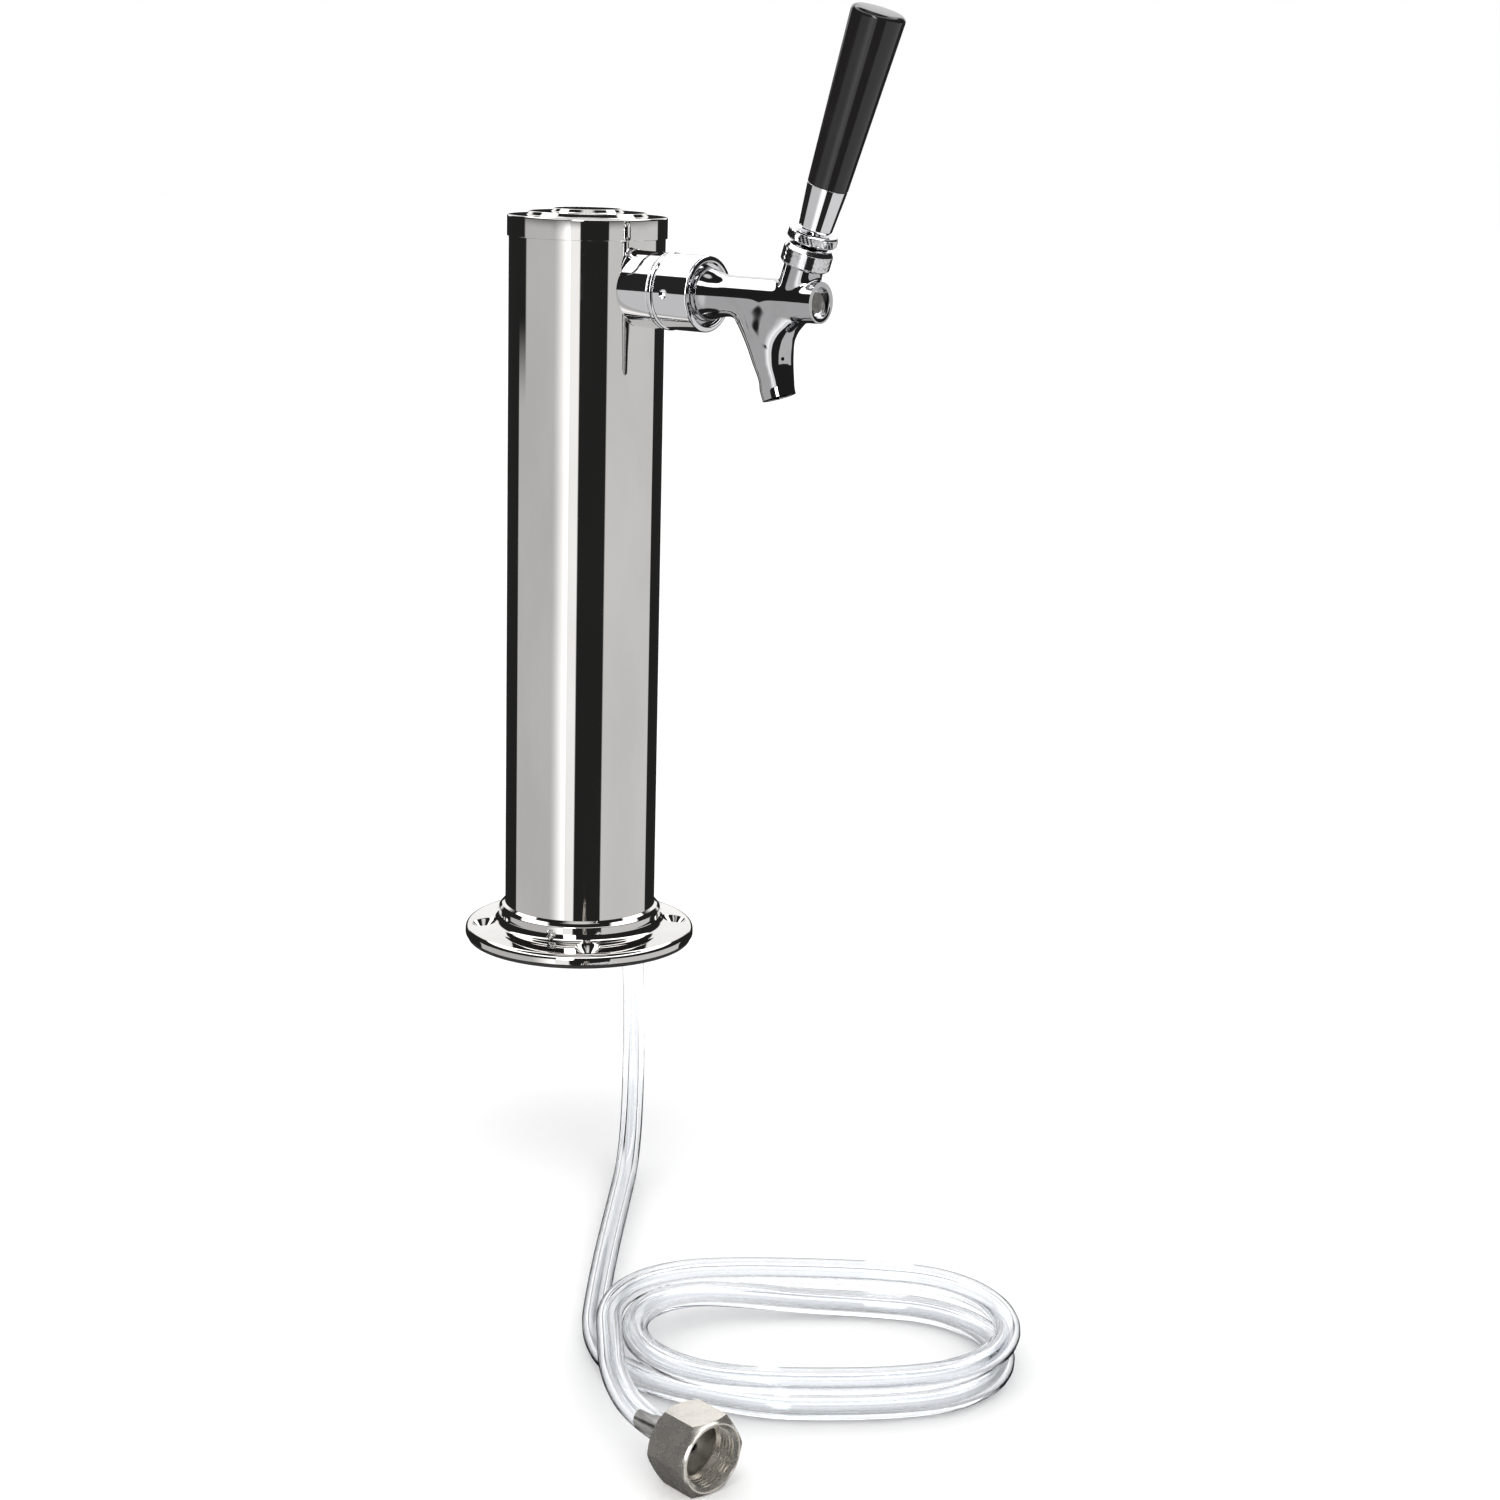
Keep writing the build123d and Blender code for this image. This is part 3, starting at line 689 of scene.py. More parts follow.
def joined(*shapes):
    """Several shapes as one."""
    whole = bmesh.new()
    for shape in shapes:
        part = bpy.data.meshes.new("part")
        shape.to_mesh(part)
        shape.free()
        whole.from_mesh(part)
        bpy.data.meshes.remove(part)
    return whole


def as_object(name, shape):
    mesh = bpy.data.meshes.new(name)
    shape.to_mesh(mesh)
    shape.free()
    obj = bpy.data.objects.new(name, mesh)
    bpy.context.scene.collection.objects.link(obj)
    return obj


def baked(obj):
    """The object's shape with its modifiers applied. The object is removed."""
    bpy.context.view_layer.update()
    depsgraph = bpy.context.evaluated_depsgraph_get()
    mesh = bpy.data.meshes.new_from_object(obj.evaluated_get(depsgraph))
    shape = bmesh.new()
    shape.from_mesh(mesh)
    bpy.data.meshes.remove(mesh)
    bpy.data.objects.remove(obj)
    return shape


def carved(shape, tool, operation="DIFFERENCE"):
    """The shape cut by, or held to, the tool's shape."""
    base = as_object("base", shape)
    cutter = as_object("cutter", tool)
    cut = base.modifiers.new("cut", "BOOLEAN")
    cut.operation = operation
    cut.solver = "EXACT"
    cut.object = cutter
    result = baked(base)
    bpy.data.objects.remove(cutter)
    return result


def spread(make, count, start=0.0):
    """Copies of a shape round the Z axis, as one shape. make() gives a fresh one each time."""
    shapes = []
    for i in range(count):
        shape = make()
        shape.transform(Matrix.Rotation(start + 2 * pi * i / count, 4, "Z"))
        shapes.append(shape)
    return joined(*shapes)


def piece(name, shape, finish, body, slot, nodes=(), sharp=32):
    """Makes the shape a piece of the tower: smooth but for its sharp edges, riding on its body."""
    obj = as_object(name, shape)
    obj.data.materials.append(finish)
    obj.data.shade_smooth()
    obj.data.set_sharp_from_angle(angle=radians(sharp))
    weighted = obj.modifiers.new("even_shading", "WEIGHTED_NORMAL")
    weighted.keep_sharp = True
    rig.ride(obj, body)
    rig.slot(obj, slot)
    if nodes:
        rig.replaces(obj, *nodes)
    return obj


def finish_of(name):
    """The material of that name, made on first use."""
    return bpy.data.materials.get(name + FINISH) or globals()[name]()


def smooth_step(value):
    """0 below 0, 1 above 1, smooth between."""
    value = max(0.0, min(1.0, value))
    return value * value * (3 - 2 * value)


# ---------------------------------------------------------------- hose


def coil_point(turns, half):
    """A point on a four-arc oval, by turns from the middle of its near side."""
    long_half, short_half = half
    flat = long_half - COIL_END_R
    side_r = (flat**2 + short_half**2 - COIL_END_R**2) / (2 * (short_half - COIL_END_R))
    side_angle = asin(flat / (side_r - COIL_END_R))
    side = 2 * side_angle * side_r
    end = (pi - 2 * side_angle) * COIL_END_R
    halves, rest = divmod(2 * turns * (side + end) + side / 2, side + end)
    if rest < side:
        angle = rest / side_r - side_angle
        x, y = side_r * sin(angle), side_r - short_half - side_r * cos(angle)
    else:
        angle = side_angle + (rest - side) / COIL_END_R
        x, y = flat + COIL_END_R * sin(angle), -COIL_END_R * cos(angle)
    sign = -1 if int(halves) % 2 else 1
    return Vector((sign * x, sign * y, 0))


def coil_route(rest_z, diameter):
    """The coil's turns: a low one on the floor that climbs onto itself and widens."""
    route = []
    for i in range(-1, COIL_LAST_POINT + 1):
        turns = i / COIL_POINTS_A_TURN
        widen = smooth_step((turns - 1.08) / 0.44)
        low = coil_point(turns, COIL_LOW["half"])
        high = coil_point(turns, COIL_HIGH["half"])
        place = low.lerp(high, widen)
        place.rotate(Matrix.Rotation(COIL_AXIS, 3, "Z"))
        centre = Vector((*COIL_LOW["centre"], 0)).lerp(Vector((*COIL_HIGH["centre"], 0)), widen)
        climb = smooth_step((turns - 0.45) / 0.27) + 0.3 * smooth_step((turns - 1.4) / 0.35)
        place += centre
        place.z = rest_z + climb * (diameter + 0.2)
        route.append(tuple(place))
    return route


def hose_curve(name, points):
    """A NURBS line through the hose's control points, given in millimetres."""
    data = bpy.data.curves.new(name, "CURVE")
    data.dimensions = "3D"
    data.resolution_u = 10
    spline = data.splines.new("NURBS")
    spline.points.add(len(points) - 1)
    for point, place in zip(spline.points, points):
        point.co = (*(c * MM for c in place), 1.0)
    spline.order_u = 3
    spline.use_endpoint_u = True
    obj = bpy.data.objects.new(name, data)
    bpy.context.scene.collection.objects.link(obj)
    return obj


class TAPTOWER_OT_hose(bpy.types.Operator):
    """Lay the clear beer line from the shank's barb down to the floor, round its coil and to the nut"""

    bl_idname = "taptower.hose"
    bl_label = "Beer line"

    def execute(self, context):
        sizes = context.scene.tower_sizes
        radius = sizes.hose_diameter / 2
        rest_z = (FLOOR_Z + radius) / MM
        route = LINE_ROUTE + coil_route(rest_z, sizes.hose_diameter / MM) + TAIL_ROUTE
        line = hose_curve("hose_route", route)
        context.view_layer.update()
        centre = bpy.data.meshes.new_from_object(line)
        path = [tuple(v.co) for v in centre.vertices]
        bpy.data.meshes.remove(centre)
        line.data.bevel_depth = radius
        line.data.bevel_resolution = 6
        context.view_layer.update()
        tube = bpy.data.meshes.new_from_object(line.evaluated_get(context.evaluated_depsgraph_get()))
        shape = bmesh.new()
        shape.from_mesh(tube)
        bpy.data.objects.remove(line)
        bpy.data.meshes.remove(tube)
        bmesh.ops.remove_doubles(shape, verts=shape.verts, dist=1e-7)
        bmesh.ops.recalc_face_normals(shape, faces=shape.faces)
        obj = as_object("beer_hose", shape)
        obj.data.materials.append(finish_of("clear_vinyl"))
        obj.data.shade_smooth()
        wall = obj.modifiers.new("wall", "SOLIDIFY")
        wall.thickness = sizes.hose_wall
        wall.offset = -1
        obj.visible_shadow = False
        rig.ride(obj, "tower")
        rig.slot(obj, "clear_vinyl")
        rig.replaces(obj, "beer_line", "beer_line_coil", "beer_line_tail")
        length = sum((Vector(b) - Vector(a)).length for a, b in zip(path, path[1:]))
        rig.cord(
            obj, exit=path[0], length=length, diameter=sizes.hose_diameter, far_end="fitting",
            stiffness="medium", lay="coiled", path=path, with_pieces=["hose_nut", "hose_tail"],
        )
        return {"FINISHED"}


# ---------------------------------------------------------------- column, base and cap


class TAPTOWER_OT_column(bpy.types.Operator):
    """Make the polished column, with the hole that its shank passes through"""

    bl_idname = "taptower.column"
    bl_label = "Column"

    def execute(self, context):
        bottom, top = COLUMN_Z
        inner = COLUMN_R - 1.2
        outline = [(inner, bottom), (COLUMN_R, bottom), (COLUMN_R, top), (inner, top)]
        shape = turned(outline, steps=256)
        shape = carved(shape, rod(11.6, 20, 60, ALONG_REACH, 64))
        piece(
            "column", shape, finish_of("polished_stainless"), "tower", "polished_stainless", ["column_tube"],
        )
        return {"FINISHED"}


def base_outline(outer, bottom, collar_top, bore):
    """The flange's outline: rounded rim, gently sloped top, a hollow sweep up to its collar."""
    collar = 41.2
    return [
        (bore, bottom),
        (outer, bottom, 0.6),
        (outer, 6.9, 2.6),
        (collar + 6.5, 8.1, 3.0),
        (collar + 1.3, 9.0, 3.0),
        (collar, 12.4, 2.0),
        (collar, 16.2, 0.7),
        (COLUMN_R + 1.6, collar_top - 0.9, 1.2),
        (COLUMN_R + 0.15, collar_top),
        (COLUMN_R + 0.15, 3.2),
        (bore, 3.2),
    ]


def screw_hole():
    """A countersunk hole in the flange, as the solid to cut away."""
    hole = turned([(0, 0), (3, 0), (3, 4.9), (6.2, 7.6), (7.2, 8.7), (7.2, 14), (0, 14)], steps=48)
    hole.transform(Matrix.Translation((49.2 * MM, 0, 0)))
    return hole


def set_screw_hole():
    return rod(2.5, 39, 45, Matrix.Translation((0, 0, 12 * MM)) @ Matrix.Rotation(pi / 2, 4, "Y"), 32)


class TAPTOWER_OT_base(bpy.types.Operator):
    """Make the screwed-down base: flange, gasket and the collar's set screws"""

    bl_idname = "taptower.base"
    bl_label = "Base"

    def execute(self, context):
        outer = span("base_flange", "x")[1]
        bottom, top = span("base_flange", "z")
        bore = 34.0
        shape = turned(base_outline(outer, bottom, top, bore), steps=256)
        shape = carved(shape, spread(screw_hole, 4, pi / 4))
        for angle in (-160, -40, 80):
            tool = set_screw_hole()
            tool.transform(Matrix.Rotation(radians(angle), 4, "Z"))
            shape = carved(shape, tool)
        piece("base", shape, finish_of("polished_stainless"), "tower", "polished_stainless", ["base_flange"])
        gasket_r = span("base_gasket", "x")[1]
        gasket = turned([(bore, 0), (gasket_r, 0, 0.5), (gasket_r, 2, 0.5), (bore, 2)], steps=128)
        hole = rod(3.4, -1, 3, Matrix.Translation((49.2 * MM, 0, 0)), 32)
        gasket = carved(gasket, spread(hole.copy, 4, pi / 4))
        hole.free()
        piece("gasket", gasket, finish_of("black_rubber"), "tower", "black_rubber", ["base_gasket"])
        self.set_screws()
        return {"FINISHED"}

    def set_screws(self):
        screws = []
        for angle in (-160, -40, 80):
            screw = turned(
                [(0, 38.2), (2.4, 38.2), (2.4, 40.6, 0.4), (1.3, 40.6), (1.25, 39.2), (0, 39)], steps=6,
            )
            screw.transform(Matrix.Translation((0, 0, 12 * MM)) @ Matrix.Rotation(pi / 2, 4, "Y"))
            screw.transform(Matrix.Rotation(radians(angle), 4, "Z"))
            screws.append(screw)
        name = "set_screws"
        piece(name, joined(*screws), finish_of("satin_steel"), "tower", "dark_screw", ["collar_set_screws"])


class TAPTOWER_OT_cap(bpy.types.Operator):
    """Make the pressed cap with its skirt and two raised steps"""

    bl_idname = "taptower.cap"
    bl_label = "Cap"

    def execute(self, context):
        outer = span("top_cap", "x")[1]
        bottom, top = span("top_cap", "z")
        rim = top - 3.4
        outline = [
            (outer - 0.6, bottom), (outer, bottom, 0.25), (outer, rim, 1.0), (29.6, rim, 0.8),
            (28.2, rim + 1.8, 0.8), (17.7, rim + 1.8, 0.8), (16.3, top, 0.8), (0, top),
            (0, rim - 1.2), (outer - 0.6, rim - 1.2, 0.8),
        ]
        shape = turned(outline, steps=256)
        piece("cap", shape, finish_of("polished_stainless"), "cap", "polished_stainless", ["top_cap"])
        return {"FINISHED"}


# ---------------------------------------------------------------- shank and coupling


class TAPTOWER_OT_shank(bpy.types.Operator):
    """Make the sleeve that saddles the column, and the shank with its collar, elbow and barb"""

    bl_idname = "taptower.shank"
    bl_label = "Shank"

    def execute(self, context):
        sleeve_r = span("shank_sleeve", "x")[1]
        sleeve_end = -span("shank_sleeve", "y")[0]
        back = 20.0
        outline = [(11.2, back), (sleeve_r, back), (sleeve_r, sleeve_end, 0.5), (11.2, sleeve_end)]
        shape = turned(outline, ALONG_REACH)
        seat_r = (COLUMN_R + 0.05) * MM
        for vert in shape.verts:
            if -vert.co.y < (back + 1) * MM:
                vert.co.y = -((seat_r**2 - vert.co.x**2) ** 0.5)
        piece("sleeve", shape, finish_of("chrome_plate"), "tower", "chrome_plate", ["shank_sleeve"])
        collar = span("shank", "x")[1]
        outline = [
            (0, -9), (11.1, -9, 0.6), (11.1, sleeve_end), (collar - 0.8, sleeve_end, 0.2),
            (collar, sleeve_end + 0.9, 0.7), (collar, sleeve_end + 2.4, 0.7),
            (collar - 0.9, sleeve_end + 3.1, 0.2), (14.2, sleeve_end + 3.1), (14.2, 66, 0.5),
            (8, 66, 0.4), (8, 58), (0, 58),
        ]
        body = turned(outline, ALONG_REACH)
        barb = [(0, 302), (2.2, 302), (2.6, 303.5)]
        for step in range(3):
            barb += [(2.6, 303.5 + 5 * step), (3.1, 306.5 + 5 * step), (2.6, 306.6 + 5 * step)]
        barb += [(2.6, 321), (5.3, 321, 0.4), (5.3, SHANK_Z), (0, SHANK_Z)]
        shape = joined(body, turned(barb, steps=48))
        piece("shank_tube", shape, finish_of("chrome_plate"), "tower", "chrome_plate", ["shank"])
        return {"FINISHED"}


class TAPTOWER_OT_coupling(bpy.types.Operator):
    """Make the round coupling nut with its rounded lip and spanner holes"""

    bl_idname = "taptower.coupling"
    bl_label = "Coupling nut"

    def execute(self, context):
        outer = span("coupling_nut", "x")[1]
        front, back = (-y for y in span("coupling_nut", "y"))
        outline = [
            (14.3, back), (outer - 0.7, back, 0.2), (outer, back + 0.8, 0.5), (outer, front - 0.4, 1.1),
            (outer - 2.6, front, 0.8), (outer - 3.6, front - 1.2, 0.6), (12.7, front - 1.8, 0.4),
            (12.7, 71.3), (14.3, 71.3),
        ]
        shape = turned(outline, ALONG_REACH)
        for angle in (0, 120, 240):
            hole = turned([(0, 15.8), (2.0, 15.8), (2.1, 17.6), (2.7, 18.4), (0, 18.4)], steps=40)
            hole.transform(Matrix.Rotation(-pi / 2, 4, "Y"))
            hole.transform(Matrix.Translation((0, 0, 61.5 * MM)))
            hole.transform(Matrix.Rotation(radians(angle), 4, "Z"))
            hole.transform(ALONG_REACH)
            shape = carved(shape, hole)
        piece("coupling", shape, finish_of("chrome_plate"), "tower", "chrome_plate", ["coupling_nut"])
        return {"FINISHED"}


# ---------------------------------------------------------------- faucet


def web_blank():
    """The web under the body: ovals that narrow in a hollow curve and lean forward down the spout."""
    shape = bmesh.new()
    loops = []
    levels = (
        (331.0, 23.5, 9.7, 111.5), (324.0, 21.5, 9.9, 111.3), (320.5, 19.2, 10.0, 111.2),
        (316.8, 15.8, 10.15, 110.7), (312.2, 12.8, 10.3, 111.0), (307.6, 11.1, 10.35, 112.1),
        (301.2, 9.6, 9.9, 113.6), (295.4, 8.7, 8.7, 115.4), (291.5, 8.4, 8.0, 116.3),
    )
    for height, along, across, reach in levels:
        made = bmesh.ops.create_circle(shape, cap_ends=False, radius=1.0, segments=48)
        bmesh.ops.scale(shape, vec=(across * MM, along * MM, 1), verts=made["verts"])
        bmesh.ops.translate(shape, vec=(0, -reach * MM, height * MM), verts=made["verts"])
        loops.append([edge for edge in {e for v in made["verts"] for e in v.link_edges}])
    for upper, lower in zip(loops, loops[1:]):
        bmesh.ops.bridge_loops(shape, edges=upper + lower)
    bmesh.ops.holes_fill(shape, edges=loops[0] + loops[-1])
    bmesh.ops.recalc_face_normals(shape, faces=shape.faces)
    return shape


def cut_open(shape, place, rim_r, depth, reach):
    """Cuts a limb off square and sinks a bore from the cut: +Z of its place points out of the mouth."""
    back = place.inverted()
    near = set()
    for vert in shape.verts:
        local = back @ vert.co
        if hypot(local.x, local.y) < reach:
            near.add(vert)
    faces = {face for vert in near for face in vert.link_faces if near.issuperset(face.verts)}
    edges = {edge for face in faces for edge in face.edges}
    geom = [*{vert for face in faces for vert in face.verts}, *edges, *faces]
    out = place.to_3x3() @ Vector((0, 0, 1))
    cut = bmesh.ops.bisect_plane(shape, geom=geom, plane_co=place.translation, plane_no=out, clear_outer=True)
    edge_loop = [e for e in cut["geom_cut"] if isinstance(e, bmesh.types.BMEdge)]
    for radius, height in ((rim_r + 0.3 * MM, 0), (rim_r, -0.3 * MM), (rim_r, -depth)):
        grown = bmesh.ops.extrude_edge_only(shape, edges=edge_loop)["geom"]
        verts = [v for v in grown if isinstance(v, bmesh.types.BMVert)]
        edge_loop = [e for e in grown if isinstance(e, bmesh.types.BMEdge)]
        for vert in verts:
            local = back @ vert.co
            flat = Vector((local.x, local.y, 0)).normalized() * radius
            vert.co = place @ Vector((flat.x, flat.y, height))
    bmesh.ops.holes_fill(shape, edges=edge_loop)


def cast_body(voxel):
    """The casting: barrel, boss, lever neck and spout blended into one."""
    grow = 0.35
    blank = joined(
        turned([(0, 60), (12.6, 60), (12.6, 76.5, 1), (10.6, 82, 3), (9.4 + grow, 87, 3),
                (9.4 + grow, 134), (0, 134)],
               ALONG_REACH, 96),
        turned([(0, 125), (9.3 + grow, 125), (9.3 + grow, 146), (0, 146)], ALONG_REACH, 96),
        turned([(0, 0), (9.0 + grow, 0), (9.0 + grow, 27), (0, 27)], ALONG_LEVER, 96),
        turned([(0, -6), (7.6 + grow, -6), (7.9 + grow, 7), (0, 7)], UP_SPOUT, 96),
        web_blank(),
    )
    obj = as_object("blank", blank)
    remesh = obj.modifiers.new("fuse", "REMESH")
    remesh.mode = "VOXEL"
    remesh.voxel_size = voxel
    remesh.adaptivity = 0
    relax = obj.modifiers.new("relax", "SMOOTH")
    relax.factor = 0.5
    relax.iterations = 30
    finer = obj.modifiers.new("finer", "SUBSURF")
    finer.levels = finer.render_levels = 1
    return baked(obj)


class TAPTOWER_OT_faucet_body(bpy.types.Operator):
    """Make the faucet's chromed casting with its boss, neck and open spout"""

    bl_idname = "taptower.faucet_body"
    bl_label = "Faucet body"

    def execute(self, context):
        shape = cast_body(context.scene.tower_sizes.cast_voxel)
        front = -span("faucet_body", "y")[0]
        neck = ALONG_LEVER @ Matrix.Translation((0, 0, 22 * MM))
        cut_open(shape, neck, 7.5 * MM, 3 * MM, 13 * MM)
        boss = ALONG_REACH @ Matrix.Translation((0, 0, front * MM))
        cut_open(shape, boss, 7.0 * MM, 12 * MM, 13 * MM)
        mouth = UP_SPOUT @ Matrix.Rotation(pi, 4, "X")
        cut_open(shape, mouth, 6.2 * MM, 18 * MM, 13 * MM)
        rear = ALONG_REACH @ Matrix.Translation((0, 0, 67.6 * MM)) @ Matrix.Rotation(pi, 4, "X")
        cut_open(shape, rear, 8 * MM, 4 * MM, 18 * MM)
        vent = rod(0.9, 4, 16, Matrix.Rotation(pi / 2, 4, "X"), 24)
        vent.transform(Matrix.Rotation(radians(-24), 4, "Z"))
        vent.transform(Matrix.Translation((0, -112.8 * MM, 304.5 * MM)))
        shape = carved(shape, vent)
        piece("faucet", shape, finish_of("cast_chrome"), "tower", "chrome_plate", ["faucet_body"], sharp=50)
        return {"FINISHED"}


class TAPTOWER_OT_valve(bpy.types.Operator):
    """Make the guide ring in the boss, and give the valve shaft whose end shows in it its turned-steel finish"""

    bl_idname = "taptower.valve"
    bl_label = "Valve shaft"

    def execute(self, context):
        head_r = span("faucet_shaft", "x")[1]
        outline = [
            (head_r + 0.05, 130.2), (6.95, 130.2), (6.95, 136.3), (6.0, 136.3, 0.3), (head_r + 0.05, 136.1),
        ]
        guide = turned(outline, ALONG_REACH, 96)
        piece("guide_ring", guide, finish_of("chrome_plate"), "tower", "chrome_plate", ["shaft_guide"])
        NODES["faucet_shaft"].data.materials.clear()
        NODES["faucet_shaft"].data.materials.append(finish_of("turned_steel"))
        return {"FINISHED"}


def knurled_ring(outline, band, radius, rows, diamond):
    """A turned ring with a knurled band: every other point stands out, in diamonds or slanted ribs."""
    sizes = bpy.context.scene.tower_sizes
    low, high = band
    columns = sizes.knurl_teeth * (2 if diamond else 4)
    shape = turned(outline, None, columns)
    for row in range(rows + 1):
        at = (low + (high - low) * row / rows) * MM
        geom = list(shape.verts) + list(shape.edges) + list(shape.faces)
        bmesh.ops.bisect_plane(shape, geom=geom, plane_co=(0, 0, at), plane_no=(0, 0, 1))
    for vert in shape.verts:
        flat = Vector((vert.co.x, vert.co.y))
        height = vert.co.z / MM
        if not low - 0.02 < height < high + 0.02 or flat.length < radius * MM * 0.99:
            continue
        column = round(flat.angle_signed(Vector((1, 0))) / (2 * pi) * columns)
        row = round((height - low) / (high - low) * rows)
        out = (column + row) % 2 if diamond else (column + row) // 2 % 2
        flat *= 1 + sizes.knurl_depth * (0.5 if out else -0.5) / flat.length
        vert.co.x, vert.co.y = flat
    shape.transform(ALONG_LEVER)
    return shape


class TAPTOWER_OT_bonnet(bpy.types.Operator):
    """Make the diamond-knurled bonnet over the lever's ball"""

    bl_idname = "taptower.bonnet"
    bl_label = "Bonnet"

    def execute(self, context):
        low, high, outer = 17.0, 27.1, 11.4
        outline = [
            (9.1, low), (outer - 1.0, low, 0.4), (outer, low + 0.9, 0.4), (outer, high - 2.4, 0.8),
            (outer - 1.2, high - 0.3, 0.5), (8.3, high, 0.3), (8.3, 22.1), (9.1, 22.1),
        ]
        shape = knurled_ring(outline, (low + 1.2, high - 2.5), outer, 6, True)
        piece(
            "knurled_bonnet", shape, finish_of("knurled_chrome"), "tower", "chrome_plate", ["bonnet"],
            sharp=15,
        )
        return {"FINISHED"}


class TAPTOWER_OT_lever(bpy.types.Operator):
    """Make the ball lever and its ribbed collar"""

    bl_idname = "taptower.lever"
    bl_label = "Lever"

    def execute(self, context):
        pivot, ball, tip = 18.0, 6.6, -0.95
        outline = [(0, tip - 2.4), (1.7, tip - 1.7), (2.4, tip), (1.7, tip + 1.7), (1.7, pivot - 6.37)]
        for step in range(1, 15):
            angle = -pi / 2 + 0.26 + (pi - 0.26 - 0.506) * step / 15
            outline.append((ball * cos(angle), pivot + ball * sin(angle)))
        outline += [(3.2, pivot + 5.77), (3.2, 34.4), (4.65, 34.4), (4.65, 53, 0.5), (0, 53)]
        piece("lever_rod", turned(outline, ALONG_LEVER, 64), finish_of("chrome_plate"), "lever",
              "chrome_plate", ["ball_lever"])
        low, high, outer = 28.5, 33.7, 11.4
        outline = [
            (3.3, 33.05), (8.5, 31.2), (outer - 0.6, 28.75, 0.2), (outer, low + 0.9, 0.3),
            (outer, high - 0.7, 0.3), (outer - 0.6, high, 0.2), (3.3, high),
        ]
        shape = knurled_ring(outline, (low + 1.0, high - 0.9), outer, 4, False)
        piece(
            "ribbed_collar", shape, finish_of("knurled_chrome"), "lever", "chrome_plate", ["lever_collar"],
            sharp=15,
        )
        return {"FINISHED"}


class TAPTOWER_OT_handle(bpy.types.Operator):
    """Make the handle's chrome ferrule and its glossy tapered grip"""

    bl_idname = "taptower.handle"
    bl_label = "Handle"

    def execute(self, context):
        outline = [
            (4.7, 34.4), (7.2, 34.4, 0.4), (7.95, 35.6, 0.8), (8.05, 36.6), (9.5, 55.3, 0.3), (7.05, 55.3),
            (7.05, 42), (4.7, 42),
        ]
        piece("ferrule", turned(outline, ALONG_LEVER), finish_of("chrome_plate"), "lever",
              "chrome_plate", ["handle_ferrule"])
        outline = [
            (6.25, 42), (7.0, 42), (7.0, 55.4), (9.55, 55.4, 0.4), (12.75, 136.8, 2.6), (0, 136.8),
            (0, 62), (6.25, 62),
        ]
        piece("grip", turned(outline, ALONG_LEVER), finish_of("glossy_grip"), "lever",
              "black_grip", ["handle_grip"])
        return {"FINISHED"}


# ---------------------------------------------------------------- line nut


class TAPTOWER_OT_line_nut(bpy.types.Operator):
    """Make the hex nut at the hose's end, with its thread, and the tailpiece in it"""

    bl_idname = "taptower.line_nut"
    bl_label = "Line nut"

    def execute(self, context):
        flats, back, shoulder = 30.0, -26.0, -21.0
        corner = flats / 2 / cos(pi / 6)
        prism = turned([(0, shoulder), (corner, shoulder), (corner, 0), (0, 0)], None, 6)
        envelope = turned([
            (0, shoulder - 1), (14.2, shoulder - 1), (corner, shoulder + 1.9), (corner, -2.6),
            (flats / 2 - 0.2, -0.8), (flats / 2 - 0.8, 0, 0.2), (0, 0),
        ])
        shape = carved(prism, envelope, "INTERSECT")
        shape = carved(shape, rod(5.3, back - 1, 1, None, 64))
        pitch = context.scene.tower_sizes.thread_pitch / MM
        root, crest, depth = 12.95, 12.1, 11.8
        cutter = [(0, 0.5), (root + 0.9, 0.5), (root + 0.5, -0.5)]
        turns = int((depth - 1.3) / pitch)
        for turn in range(turns):
            at = -1.0 - pitch * turn
            cutter += [
                (crest, at - 0.35), (crest, at - 0.6), (root, at - pitch + 0.35), (root, at - pitch + 0.1),
            ]
        cutter += [(crest, -depth), (11.75, -depth), (11.75, -15.3), (0, -15.3)]
        shape = carved(shape, turned(cutter, None, 128))
        sleeve = turned(
            [(5.3, back), (7.6, back, 0.4), (9.8, shoulder + 0.2), (9.8, shoulder + 1.0),
             (5.3, shoulder + 1.0)],
        )
        shape = joined(shape, sleeve)
        shape.transform(ALONG_NUT)
        piece("hose_nut", shape, finish_of("nickel_plate"), "nut", "nickel_plate", ["line_nut"], sharp=25)
        face = [
            (0.0, -17), (1.9, -17), (1.9, -12.3, 0.2), (2.4, -12, 0.2), (11.3, -12, 0.2), (11.7, -12.4, 0.2),
            (11.7, -15), (5, -15), (5, -26), (2.6, -26), (2.6, -44), (0, -44),
        ]
        tail = turned(face, ALONG_NUT, 96)
        piece("hose_tail", tail, finish_of("turned_steel"), "tower", "plain_steel", ["tailpiece"])
        return {"FINISHED"}


# ---------------------------------------------------------------- inner pieces


INNER_FINISHES = {
    "insulation_sleeve": "grey_foam",
    "inner_saddle": "black_nylon",
    "shank_lock_nut": "plain_brass",
    "hose_clamp": "satin_steel",
    "coupling_washer": "black_rubber",
    "seat_washer": "black_rubber",
    "shaft_nut": "plain_brass",
    "lever_seat": "black_rubber",
    "lever_bushing": "black_nylon",
    "handle_insert": "plain_brass",
}


class TAPTOWER_OT_inner_pieces(bpy.types.Operator):
    """Give the pieces inside the column and faucet their finishes"""

    bl_idname = "taptower.inner_pieces"
    bl_label = "Inner pieces"

    def execute(self, context):
        for node, finish in INNER_FINISHES.items():
            NODES[node].data.materials.clear()
            NODES[node].data.materials.append(finish_of(finish))
        return {"FINISHED"}


# ---------------------------------------------------------------- stage


